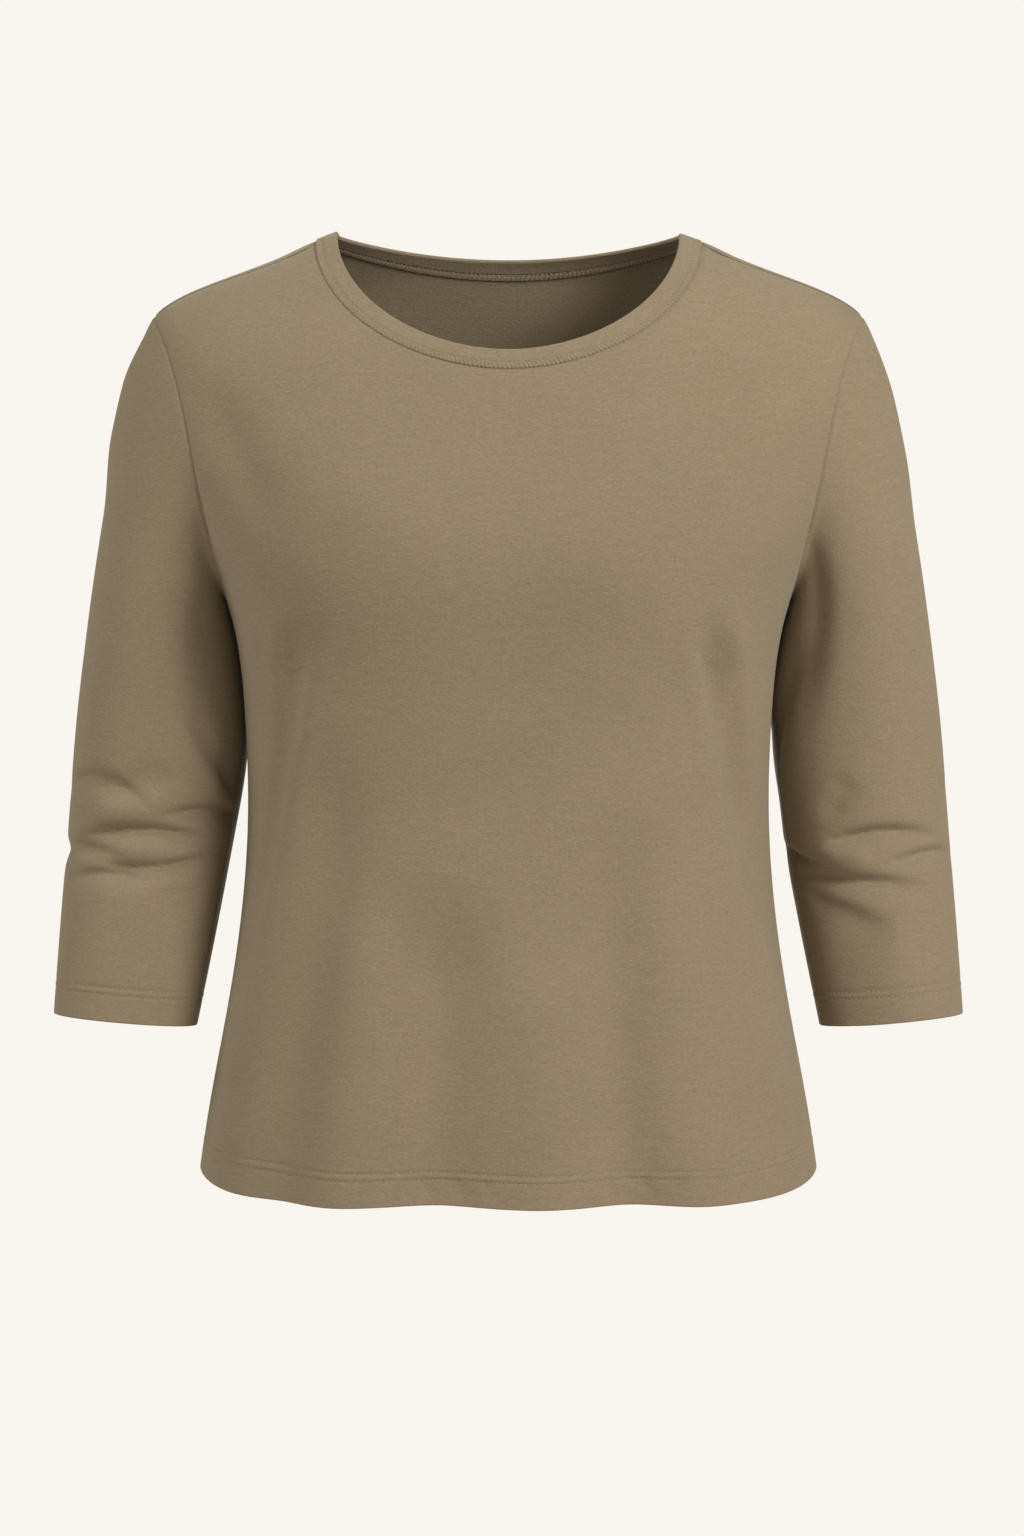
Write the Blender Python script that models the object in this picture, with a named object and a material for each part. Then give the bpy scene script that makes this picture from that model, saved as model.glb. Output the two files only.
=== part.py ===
"""Three-quarter sleeve jersey top, filled out as if worn, with nobody in it.

Five cut pieces: front, back, two sleeves and a bound neckband. Each is a thin wall whose outer face is worked
out from the tables below. Metres, +Z up, the front faces -Y. The origin is midway between the highest points
of the neckband, over the shoulder seams, so heights are measured down from there.
"""

from collections import namedtuple
from math import pi, radians

import bpy
import numpy as np

# Cloth
CLOTH = 0.0012  # single jersey, a little thicker than real so that it is a sound wall
FOLD_OVER = 0.0011  # what a turned hem adds on the inside
SEAM_GAP = 0.0003  # between two pieces at a seam
BODY_HEM = 0.0215  # turned up at the bottom edge
CUFF_HEM = 0.0240  # turned up at the sleeve ends
HEM_STEP = 0.0006  # half the height in which a hem's inside steps back to one layer

# Cut
NECK_SIDE_DROP = 0.0045  # neck seam at the shoulder
SHOULDER_TIP_DROP = 0.0515
UNDERARM_DROP = 0.232
SIDE_HEM_DROP = 0.590  # side seam's lower end
FRONT_HEM_SAG = 0.0145  # how much lower the hem hangs at centre front
BACK_HEM_SAG = 0.013
SAG_FROM = 0.8  # cosine of the angle from the centre line at which the hem starts to rise to the side seam
HEM_FALL = 0.25  # how much lower the hem is where a fold stands forward, as a share of the fold's height
NECK_HALF = 0.1215  # neck seam from the centre line, at the shoulder
FRONT_NECK_DROP = 0.0950  # neck seam at centre front
BACK_NECK_DROP = 0.0208  # neck seam at centre back
FRONT_NECK_CURVE = 1.95  # 2 is an ellipse, more is squarer
BACK_NECK_CURVE = 2.0
FRONT_NECK_EASE = 1.0  # above 1 the neck line comes down more gently from the shoulder
BACK_NECK_EASE = 2.5
ARMHOLE_FRONT = 0.062  # how far the armhole reaches forward and back of the side seam
ARMHOLE_BACK = 0.066

# Neckband: a folded strip, so it stands proud of the panels on both faces. One row for each place across it:
# how far from the neck seam, how far above the panel's outer face and how deep below it.
BAND_NARROWING = 0.0137  # how much nearer the centre line its inner edge is at the shoulder
BAND_RISE = 0.0045  # its inner edge above the neck seam at the shoulder
BAND_CLIMB = 0.0123  # and at the centre
Strip = namedtuple("Strip", "along proud deep")
BAND_WIDTH = 0.0140
BAND = (
    Strip(SEAM_GAP, 0.0004, 0.0016),
    Strip(0.0014, 0.0008, 0.0020),
    Strip(0.0070, 0.0009, 0.0020),
    Strip(0.0128, 0.0008, 0.0020),
    Strip(BAND_WIDTH, 0.0000, 0.0013),
)

# Torso, one row for each level: how far the cloth stands from the middle, to the side, to the front and to
# the back, and how square the outline is there (2 is an ellipse).
Level = namedtuple("Level", "z side front back square")
TORSO = (
    Level(-0.640, 0.2010, 0.1390, 0.1270, 2.30),
    Level(-0.590, 0.1950, 0.1340, 0.1220, 2.30),
    Level(-0.545, 0.1880, 0.1290, 0.1160, 2.30),
    Level(-0.490, 0.1778, 0.1230, 0.1090, 2.30),
    Level(-0.430, 0.1692, 0.1170, 0.1020, 2.30),
    Level(-0.370, 0.1652, 0.1130, 0.0970, 2.30),
    Level(-0.310, 0.1665, 0.1140, 0.0970, 2.32),
    Level(-0.260, 0.1715, 0.1180, 0.1010, 2.36),
    Level(-0.232, 0.1785, 0.1210, 0.1040, 2.40),
    Level(-0.203, 0.1910, 0.1210, 0.1070, 2.45),
    Level(-0.170, 0.2070, 0.1165, 0.1090, 2.50),
    Level(-0.139, 0.2200, 0.1100, 0.1090, 2.50),
    Level(-0.100, 0.2290, 0.1000, 0.1050, 2.45),
    Level(-0.070, 0.2300, 0.0870, 0.0975, 2.35),
    Level(-0.0515, 0.2230, 0.0740, 0.0895, 2.25),
    Level(-0.0390, 0.2040, 0.0665, 0.0840, 2.20),
    Level(-0.0270, 0.1742, 0.0590, 0.0785, 2.15),
    Level(-0.0155, 0.1450, 0.0500, 0.0720, 2.10),
    Level(-0.0045, 0.1215, 0.0385, 0.0620, 2.10),
    Level(0.0020, 0.1040, 0.0310, 0.0540, 2.10),
)

# Sleeve below the underarm, one row for each ring: its outermost and innermost points from the front, its
# middle front to back, and half its depth.
Ring = namedtuple("Ring", "outer_x outer_z inner_x inner_z middle_y half_depth")
SLEEVE = (
    Ring(0.2688, -0.250, 0.1714, -0.264, 0.019, 0.0610),
    Ring(0.2765, -0.314, 0.1666, -0.322, 0.022, 0.0585),
    Ring(0.2805, -0.368, 0.1742, -0.376, 0.021, 0.0550),
    Ring(0.2845, -0.428, 0.1850, -0.436, 0.012, 0.0500),
    Ring(0.2880, -0.494, 0.1975, -0.502, -0.002, 0.0450),
)
SLEEVE_SQUARE = 2.15
SLEEVE_RADIUS = 0.056  # turns an angle round the sleeve into a length on the cloth

# Sleeve head: the cloth leaves the armhole in the panel's own direction, with a lift off the panel, and
# arrives along the arm. One row for each place round it, in degrees as on the sleeve: how much it holds each.
Lead = namedtuple("Lead", "angle leave lift arrive")
HEAD = (
    Lead(0, 0.085, 0.000, 0.200),
    Lead(45, 0.045, 0.004, 0.190),
    Lead(90, 0.026, 0.010, 0.140),
    Lead(135, 0.020, 0.015, 0.080),
    Lead(180, 0.016, 0.009, 0.045),
    Lead(225, 0.020, 0.015, 0.080),
    Lead(270, 0.030, 0.010, 0.140),
    Lead(315, 0.050, 0.004, 0.190),
)

# Fullness and folds. On the torso a place is x and z seen from the front, or through the cloth from the front
# for the back. A height below zero is a trough. hem says how much of the height is left at the lower end.
Fold = namedtuple("Fold", "top middle foot width height hem")
PATH_STEPS = 24  # straight steps in a fold's curved path
FADE_IN = 0.35  # share of its length over which a fold rises to its full height
FADE_OUT = 0.60  # share of its length at which it starts to fall again
BROAD = 0.05  # a swell wider than this is as full at its ends as in its middle
SEAM_CALM = 0.35  # cosine of the angle from the side seam within which the torso's folds die away
FRONT_FOLDS = (
    Fold((-0.085, -0.200), (-0.087, -0.208), (-0.090, -0.216), 0.0620, 0.0060, 1.0),
    Fold((0.085, -0.200), (0.087, -0.208), (0.090, -0.216), 0.0620, 0.0060, 1.0),
    Fold((-0.126, -0.235), (-0.145, -0.345), (-0.172, -0.480), 0.0110, -0.0075, 0.0),
    Fold((-0.117, -0.240), (-0.143, -0.400), (-0.184, -0.575), 0.0110, 0.0032, 0.0),
    Fold((0.120, -0.238), (0.138, -0.320), (0.160, -0.440), 0.0115, -0.0072, 0.0),
    Fold((0.110, -0.240), (0.146, -0.398), (0.188, -0.575), 0.0110, 0.0032, 0.0),
    Fold((-0.104, -0.310), (-0.116, -0.440), (-0.146, -0.615), 0.0200, -0.0055, 1.0),
    Fold((-0.092, -0.400), (-0.096, -0.500), (-0.104, -0.610), 0.0240, 0.0055, 1.0),
    Fold((-0.036, -0.400), (-0.042, -0.500), (-0.044, -0.610), 0.0260, -0.0085, 1.0),
    Fold((0.022, -0.440), (0.021, -0.520), (0.019, -0.610), 0.0260, 0.0045, 1.0),
    Fold((0.070, -0.350), (0.066, -0.480), (0.076, -0.610), 0.0250, -0.0085, 1.0),
    Fold((0.104, -0.400), (0.110, -0.500), (0.118, -0.610), 0.0220, 0.0040, 1.0),
    Fold((-0.186, -0.095), (-0.166, -0.150), (-0.128, -0.206), 0.0150, -0.0032, 0.0),
    Fold((0.184, -0.110), (0.168, -0.160), (0.138, -0.206), 0.0130, -0.0018, 0.0),
)
BACK_FOLDS = (
    Fold((-0.080, -0.130), (-0.082, -0.150), (-0.084, -0.170), 0.0600, 0.0040, 1.0),
    Fold((0.080, -0.130), (0.082, -0.150), (0.084, -0.170), 0.0600, 0.0040, 1.0),
    Fold((-0.128, -0.250), (-0.140, -0.330), (-0.162, -0.460), 0.0130, -0.0060, 0.0),
    Fold((0.126, -0.245), (0.140, -0.335), (0.164, -0.465), 0.0130, -0.0065, 0.0),
    Fold((0.000, -0.240), (0.000, -0.340), (0.002, -0.460), 0.0300, -0.0050, 0.2),
    Fold((-0.070, -0.360), (-0.072, -0.480), (-0.078, -0.620), 0.0240, -0.0080, 1.0),
    Fold((-0.016, -0.400), (-0.014, -0.510), (-0.012, -0.620), 0.0250, 0.0050, 1.0),
    Fold((0.044, -0.380), (0.046, -0.490), (0.050, -0.620), 0.0240, -0.0075, 1.0),
    Fold((0.118, -0.390), (0.126, -0.500), (0.138, -0.620), 0.0220, -0.0050, 1.0),
)

# On a sleeve a place is an angle round it and z: 0 degrees is outermost, 90 front and 180 against the body.
RIGHT_SLEEVE_FOLDS = (
    Fold((0, -0.060), (0, -0.115), (0, -0.180), 0.0450, 0.0042, 0.0),
    Fold((10, -0.353), (55, -0.347), (98, -0.374), 0.0068, -0.0042, 0.0),
    Fold((38, -0.384), (88, -0.378), (136, -0.386), 0.0062, -0.0058, 0.0),
    Fold((-8, -0.392), (36, -0.388), (80, -0.397), 0.0060, -0.0046, 0.0),
    Fold((66, -0.397), (100, -0.399), (146, -0.392), 0.0062, -0.0050, 0.0),
    Fold((36, -0.408), (64, -0.405), (98, -0.411), 0.0062, -0.0032, 0.0),
    Fold((98, -0.371), (132, -0.366), (170, -0.370), 0.0062, -0.0042, 0.0),
    Fold((68, -0.341), (90, -0.346), (118, -0.340), 0.0090, -0.0020, 0.0),
    Fold((110, -0.236), (132, -0.290), (158, -0.352), 0.0120, -0.0050, 0.0),
    Fold((40, -0.367), (76, -0.364), (112, -0.362), 0.0080, 0.0024, 0.0),
    Fold((200, -0.350), (240, -0.342), (285, -0.352), 0.0080, -0.0040, 0.0),
    Fold((190, -0.378), (232, -0.384), (276, -0.376), 0.0075, -0.0048, 0.0),
    Fold((250, -0.398), (290, -0.392), (335, -0.400), 0.0080, -0.0042, 0.0),
    Fold((215, -0.412), (244, -0.408), (270, -0.416), 0.0090, -0.0028, 0.0),
)
LEFT_SLEEVE_FOLDS = (
    Fold((0, -0.060), (0, -0.125), (0, -0.190), 0.0450, 0.0022, 0.0),
    Fold((122, -0.389), (82, -0.379), (34, -0.383), 0.0062, -0.0052, 0.0),
    Fold((84, -0.401), (46, -0.392), (14, -0.395), 0.0060, -0.0044, 0.0),
    Fold((162, -0.407), (110, -0.409), (62, -0.410), 0.0066, -0.0058, 0.0),
    Fold((186, -0.390), (148, -0.396), (112, -0.405), 0.0060, -0.0045, 0.0),
    Fold((160, -0.417), (122, -0.427), (84, -0.442), 0.0100, -0.0030, 0.0),
    Fold((34, -0.350), (22, -0.350), (4, -0.356), 0.0070, -0.0028, 0.0),
    Fold((104, -0.205), (118, -0.258), (140, -0.322), 0.0120, -0.0050, 0.0),
    Fold((132, -0.250), (152, -0.300), (166, -0.350), 0.0110, -0.0040, 0.0),
    Fold((182, -0.292), (182, -0.338), (184, -0.400), 0.0180, -0.0030, 0.0),
    Fold((88, -0.395), (112, -0.393), (136, -0.389), 0.0070, 0.0025, 0.0),
    Fold((196, -0.356), (238, -0.350), (280, -0.358), 0.0080, -0.0042, 0.0),
    Fold((204, -0.392), (250, -0.386), (300, -0.394), 0.0078, -0.0048, 0.0),
    Fold((262, -0.372), (300, -0.368), (340, -0.376), 0.0078, -0.0036, 0.0),
)

# How finely each piece is divided
SIDE_ROWS = 12
ARMHOLE_ROWS = 11
FRONT_COLUMNS = (13, 8)  # in half a panel: under the neck, and under the shoulder
BACK_COLUMNS = (12, 6)
HEAD_RINGS = 8
HEAD_EASE = 1.25  # above 1 the rings are closer together near the armhole
SEAM_RINGS = 2.5  # rings over which the sleeve's folds die away towards the armhole
ELBOW = (-0.330, -0.428)  # where the creases are close together
ARM_RINGS = (4, 14, 3)  # above the elbow's creases, over them and below them
ROW_DIP = 0.50  # how much the rows dip near the armhole, so that they come to the underarm from below
DIP_REACH = 0.35  # how much of half a panel's width dips
NUDGE = 1e-4  # step for finding a surface's slope
SHARP_EDGE = 50  # degrees between two faces that are shaded apart

COLOUR = (0.292, 0.231, 0.150, 1.0)
ROUGHNESS = 0.9


def curve_through(places, values):
    """A smooth function through values at rising places: a natural cubic spline."""
    places, values = np.array(places), np.array(values)
    gaps, slopes = np.diff(places), np.diff(values) / np.diff(places)
    system, right = np.eye(len(places)), np.zeros(len(places))
    for i in range(1, len(places) - 1):
        system[i, i - 1 : i + 2] = gaps[i - 1], 2 * (gaps[i - 1] + gaps[i]), gaps[i]
        right[i] = 6 * (slopes[i] - slopes[i - 1])
    bends = np.linalg.solve(system, right)

    def at(place):
        i = np.clip(np.searchsorted(places, place) - 1, 0, len(gaps) - 1)
        after = (place - places[i]) / gaps[i]
        before = 1 - after
        bulge = (before**3 - before) * bends[i] + (after**3 - after) * bends[i + 1]
        return before * values[i] + after * values[i + 1] + bulge * gaps[i] ** 2 / 6

    return at


def column(rows, name, places):
    return curve_through(places, [getattr(row, name) for row in rows])


TORSO_Z = [row.z for row in TORSO]
torso_side = column(TORSO, "side", TORSO_Z)
torso_front = column(TORSO, "front", TORSO_Z)
torso_back = column(TORSO, "back", TORSO_Z)
torso_square = column(TORSO, "square", TORSO_Z)


def squared(angle, square):
    """Sine and cosine of an angle, pushed out from a circle to a superellipse."""
    sine, cosine = np.sin(angle), np.cos(angle)
    reach = (np.abs(sine) ** square + np.abs(cosine) ** square) ** (-1 / square)
    return sine * reach, cosine * reach


def torso_depth(z, facing):
    return torso_front(z) if facing < 0 else torso_back(z)


def angle_at_x(x, z):
    """The torso angle at which the cloth stands at x: 0 is the centre line, a quarter turn is the side."""
    square = torso_square(z)
    across = np.clip(np.abs(x) / torso_side(z), 0, 1)
    return np.sign(x) * np.arctan2(across, (1 - across**square) ** (1 / square))


def angle_at_y(y, z, facing):
    square = torso_square(z)
    along = np.clip(np.abs(y) / torso_depth(z, facing), 0, 1)
    return np.arctan2((1 - along**square) ** (1 / square), along)


def smooth_step(low, high, value):
    share = np.clip((value - low) / (high - low), 0, 1)
    return share * share * (3 - 2 * share)


def fold_height(folds, across, up):
    """How far the folds lift the cloth at each place, whose two coordinates are lengths on the cloth."""
    total = np.zeros(np.shape(across))
    for fold in folds:
        top, middle, foot = (np.array(p, float) for p in (fold.top, fold.middle, fold.foot))
        bend = 2 * middle - (top + foot) / 2
        steps = np.linspace(0, 1, PATH_STEPS + 1)[:, None]
        path = (1 - steps) ** 2 * top + 2 * steps * (1 - steps) * bend + steps**2 * foot
        nearest, share = np.full(total.shape, np.inf), np.zeros(total.shape)
        for i in range(PATH_STEPS):
            run = path[i + 1] - path[i]
            along = ((across - path[i][0]) * run[0] + (up - path[i][1]) * run[1]) / (run @ run)
            along = np.clip(along, 0, 1)
            away = np.hypot(across - path[i][0] - along * run[0], up - path[i][1] - along * run[1])
            closer = away < nearest
            nearest = np.where(closer, away, nearest)
            share = np.where(closer, (i + along) / PATH_STEPS, share)
        fade = smooth_step(0, FADE_IN, share) * (1 - (1 - fold.hem) * smooth_step(FADE_OUT, 1, share))
        if fold.width > BROAD:
            fade = 1
        total += fold.height * fade * np.exp(-((nearest / fold.width) ** 2))
    return total


def torso_bare(angle, z, facing):
    across, forward = squared(angle, torso_square(z))
    return np.stack([torso_side(z) * across, facing * torso_depth(z, facing) * forward, z + 0 * angle], -1)


def unit(vectors):
    return vectors / np.linalg.norm(vectors, axis=-1, keepdims=True)


def outward(surface, angle, z, facing):
    """The unit normal of a torso surface."""
    round_it = surface(angle + NUDGE, z, facing) - surface(angle - NUDGE, z, facing)
    up_it = surface(angle, z + NUDGE, facing) - surface(angle, z - NUDGE, facing)
    return unit(np.cross(round_it, up_it)) * -facing


def torso_lift(angle, z, facing):
    """How far the folds lift the cloth; they die away towards the side seams."""
    folds = FRONT_FOLDS if facing < 0 else BACK_FOLDS
    lift = fold_height(folds, torso_bare(angle, z, facing)[..., 0], z)
    return lift * smooth_step(0, SEAM_CALM, np.cos(angle))


def torso_point(angle, z, facing):
    """The outer face of the front (facing -1) or the back (facing 1), folds and all."""
    lift = torso_lift(angle, z, facing)[..., None]
    return torso_bare(angle, z, facing) + outward(torso_bare, angle, z, facing) * lift


def quarter_girth(z, facing):
    """About how much cloth lies between the centre line and the side at a level."""
    return pi / 2 * np.sqrt((torso_side(z) ** 2 + torso_depth(z, facing) ** 2) / 2)


def side_angle(z, facing):
    """A quarter turn, less half of the gap at the seam."""
    return pi / 2 - SEAM_GAP / 2 / torso_depth(z, facing)


def hem_z(angle, facing):
    sag = FRONT_HEM_SAG if facing < 0 else BACK_HEM_SAG
    z = -SIDE_HEM_DROP - sag * smooth_step(0, SAG_FROM, np.cos(angle))
    return z - HEM_FALL * torso_lift(angle, z, facing)


def neck_line(turn, along, facing):
    """Angle and z of a line round the neck, along from the seam: turn is 0 at the centre line and a quarter
    turn at the shoulder."""
    drop = FRONT_NECK_DROP if facing < 0 else BACK_NECK_DROP
    power = FRONT_NECK_CURVE if facing < 0 else BACK_NECK_CURVE
    ease = FRONT_NECK_EASE if facing < 0 else BACK_NECK_EASE
    share = along / BAND_WIDTH
    across, down = squared(turn, power)
    side_z = share * BAND_RISE - NECK_SIDE_DROP
    centre_z = share * BAND_CLIMB - drop
    x = (NECK_HALF - share * BAND_NARROWING) * across
    z = side_z + (centre_z - side_z) * np.abs(down) ** ease
    return angle_at_x(x, z), z


def armhole(turn, facing):
    """Angle and z of the armhole seam: turn is 0 at the shoulder tip and pi at the underarm."""
    middle = -(SHOULDER_TIP_DROP + UNDERARM_DROP) / 2
    half = (UNDERARM_DROP - SHOULDER_TIP_DROP) / 2
    z = middle + half * np.cos(turn)
    reach = ARMHOLE_FRONT if facing < 0 else ARMHOLE_BACK
    return angle_at_y(np.maximum(reach * np.sin(turn), SEAM_GAP / 2), z, facing), z


def flat_place(angle, z, facing):
    """A place on the torso as girth from the centre line and height, between which a panel's grid is even."""
    return np.stack([angle / (pi / 2) * quarter_girth(z, facing), z + 0 * angle], -1)


def panel_places(facing, columns, hand):
    """Angle and z of each point of half a panel, on the +X side if hand is 1 and on the other if it is -1,
    rows going up and columns outwards, and the rows' heights above the hem. The angle is never below 0. The
    grid is spread between the side and armhole, the hem, and the neck and shoulder."""
    hem_rows = [0, BODY_HEM / 2, BODY_HEM - HEM_STEP, BODY_HEM + HEM_STEP]
    side_up = np.append(hem_rows, np.linspace(BODY_HEM, SIDE_HEM_DROP - UNDERARM_DROP, SIDE_ROWS - 2)[1:])
    side_z = side_up - SIDE_HEM_DROP
    hole_angle, hole_z = armhole(np.linspace(pi, 0, ARMHOLE_ROWS + 1)[1:], facing)
    edge_z = np.append(side_z, hole_z)
    edge = flat_place(np.append(side_angle(side_z, facing), hole_angle), edge_z, facing)

    neck_columns, shoulder_columns = columns
    neck_angle, neck_z = neck_line(np.linspace(0, pi / 2, neck_columns + 1), 0, facing)
    shoulder_z = np.linspace(-NECK_SIDE_DROP, -SHOULDER_TIP_DROP, shoulder_columns + 1)[1:]
    top_z = np.append(neck_z, shoulder_z)
    top_angle = np.append(neck_angle, np.full(shoulder_columns, pi / 2))
    top = flat_place(np.minimum(top_angle, side_angle(top_z, facing)), top_z, facing)

    share = np.linspace(0, 1, len(top))
    hem_angle = share * side_angle(-SIDE_HEM_DROP, facing)
    hem = flat_place(hem_angle, hem_z(hand * hem_angle, facing), facing)

    climb = side_up / (top[0, 1] - hem[0, 1])
    underarm = climb[-1]
    climb = np.append(climb, np.linspace(underarm, 1, ARMHOLE_ROWS + 1)[1:])
    rows = climb[:, None, None]
    between = (1 - rows) * hem + rows * top
    bow = edge - between[:, -1]
    dip = np.minimum(climb / underarm, (1 - climb) / (1 - underarm))[:, None]
    bow_from = climb[:, None] + ROW_DIP * np.minimum(1 - share, DIP_REACH) * dip
    bowed = [np.interp(bow_from, climb, bow[:, i]) * share for i in (0, 1)]
    z = between[..., 1] + bowed[1]
    return (between[..., 0] + bowed[0]) / quarter_girth(z, facing) * pi / 2, z, side_up


def fold_over(up, hem):
    """How much thicker a turned hem is, up to its stitching."""
    return FOLD_OVER * (1 - smooth_step(hem - HEM_STEP / 2, hem + HEM_STEP / 2, up))


def panel(name, facing, columns):
    minus_angle, minus_z, up = panel_places(facing, columns, -1)
    plus_angle, plus_z, up = panel_places(facing, columns, 1)
    angle = np.concatenate([-minus_angle[:, :0:-1], plus_angle], 1)[:, ::-facing]
    z = np.concatenate([minus_z[:, :0:-1], plus_z], 1)[:, ::-facing]
    outer = torso_point(angle, z, facing)
    up = np.append(up, np.full(ARMHOLE_ROWS, up[-1]))
    thickness = CLOTH + fold_over(up, BODY_HEM)
    inner = outer - outward(torso_point, angle, z, facing) * thickness[:, None, None]
    return wall(name, outer, inner, closed=False)


SLEEVE_Z = [(row.outer_z + row.inner_z) / 2 for row in SLEEVE]
sleeve_column = {name: column(SLEEVE, name, [-z for z in SLEEVE_Z]) for name in Ring._fields}


def arm_point(angle, level):
    """The bare sleeve at an angle round it, on the ring whose middle is at a level. It is on the +X side."""
    ring = {name: at(-level) for name, at in sleeve_column.items()}
    forward, out = squared(angle, SLEEVE_SQUARE)
    x = (ring["outer_x"] + ring["inner_x"]) / 2 + (ring["outer_x"] - ring["inner_x"]) / 2 * out
    z = (ring["outer_z"] + ring["inner_z"]) / 2 + (ring["outer_z"] - ring["inner_z"]) / 2 * out
    return np.stack([x, ring["middle_y"] - ring["half_depth"] * forward, z], -1)


def armhole_loop(side, around):
    """Points and normals of the armhole seam, from the shoulder tip by the front to the underarm and back."""
    turns = np.linspace(0, pi, around // 2 + 1)
    points, normals = [], []
    for facing, turn in ((-1, turns), (1, turns[-2:0:-1])):
        angle, z = armhole(turn, facing)
        points.append(torso_point(side * angle, z, facing))
        normals.append(outward(torso_point, side * angle, z, facing))
    return np.concatenate(points), np.concatenate(normals)


def head_lead(name, angle):
    places = [row.angle for row in HEAD]
    return np.interp(np.degrees(angle), places, [getattr(row, name) for row in HEAD], period=360)[:, None]


def sleeve_grid(side, around):
    """The sleeve's bare points, rings going down from the armhole, and the first ring's normals."""
    angle = np.linspace(0, 2 * pi, around + 1)[:-1]
    seam, normals = armhole_loop(side, around)
    along = np.roll(seam, -1, 0) - np.roll(seam, 1, 0)
    leave = unit(np.cross(normals, along)) * side
    start = seam + leave * SEAM_GAP

    mirror = np.array([side, 1, 1])
    first = arm_point(angle, SLEEVE_Z[0]) * mirror
    arrive = unit(arm_point(angle, SLEEVE_Z[0] - NUDGE) * mirror - first)
    leave = leave * head_lead("leave", angle) + normals * head_lead("lift", angle)
    arrive = arrive * head_lead("arrive", angle)
    t = (np.linspace(0, 1, HEAD_RINGS + 1)[:-1] ** HEAD_EASE)[:, None, None]
    head = (2 * t**3 - 3 * t**2 + 1) * start + (t**3 - 2 * t**2 + t) * leave
    head = head + (3 * t**2 - 2 * t**3) * first + (t**3 - t**2) * arrive

    cuff = SLEEVE_Z[-1]
    stops = (SLEEVE_Z[0], *ELBOW, cuff + CUFF_HEM + HEM_STEP)
    runs = [np.linspace(stops[i], stops[i + 1], ARM_RINGS[i] + 1)[:-1] for i in range(3)]
    hem_rows = [CUFF_HEM + HEM_STEP, CUFF_HEM - HEM_STEP, CUFF_HEM / 2, 0]
    levels = np.concatenate([*runs, cuff + np.array(hem_rows)])
    arm = arm_point(angle[None, :], levels[:, None]) * mirror
    up = np.append(np.full(HEAD_RINGS, levels[0] - cuff), levels - cuff)
    return np.concatenate([head, arm]), normals, up


def ring_normals(points, side):
    down = np.gradient(points, axis=0)
    round_it = np.roll(points, -1, 1) - np.roll(points, 1, 1)
    return unit(np.cross(round_it, down)) * side


def sleeve_lift(folds, angle, z):
    """How far the folds lift the cloth at each place, told by its angle round the sleeve and its z."""
    on_cloth = []
    for fold in folds:
        top, middle, foot = ((radians(place[0]) * SLEEVE_RADIUS, place[1]) for place in fold[:3])
        on_cloth.append(Fold(top, middle, foot, fold.width, fold.height, fold.hem))
    return sum(fold_height(on_cloth, (angle + turn) * SLEEVE_RADIUS, z) for turn in (-2 * pi, 0, 2 * pi))


def sleeve(name, side, folds):
    around = 2 * ARMHOLE_ROWS
    points, seam_normals, up = sleeve_grid(side, around)
    z = points[..., 2]
    lift = sleeve_lift(folds, np.linspace(0, 2 * pi, around + 1)[:-1] + 0 * z, z)
    lift *= smooth_step(0, SEAM_RINGS, np.arange(len(points)))[:, None]
    outer = points + ring_normals(points, side) * lift[..., None]
    normals = ring_normals(outer, side)
    normals[0] = seam_normals
    inner = outer - normals * (CLOTH + fold_over(up, CUFF_HEM))[:, None, None]
    if side < 0:
        outer, inner = outer[:, ::-1], inner[:, ::-1]
    return wall(name, outer, inner, closed=True)


def neckband():
    """A ring from the wearer's right shoulder by the front, its columns in line with the panels'."""
    front_turns = np.linspace(-pi / 2, pi / 2, 2 * FRONT_COLUMNS[0] + 1)[:-1]
    back_turns = np.linspace(pi / 2, -pi / 2, 2 * BACK_COLUMNS[0] + 1)[:-1]
    outer, inner = [], []
    for strip in BAND:
        faces = ([], [])
        for facing, turn in ((-1, front_turns), (1, back_turns)):
            angle, z = neck_line(turn, strip.along, facing)
            point = torso_point(angle, z, facing)
            normal = outward(torso_point, angle, z, facing)
            faces[0].append(point + normal * strip.proud)
            faces[1].append(point - normal * strip.deep)
        outer.append(np.concatenate(faces[0]))
        inner.append(np.concatenate(faces[1]))
    return wall("neckband", np.array(outer), np.array(inner), closed=True)


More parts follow.
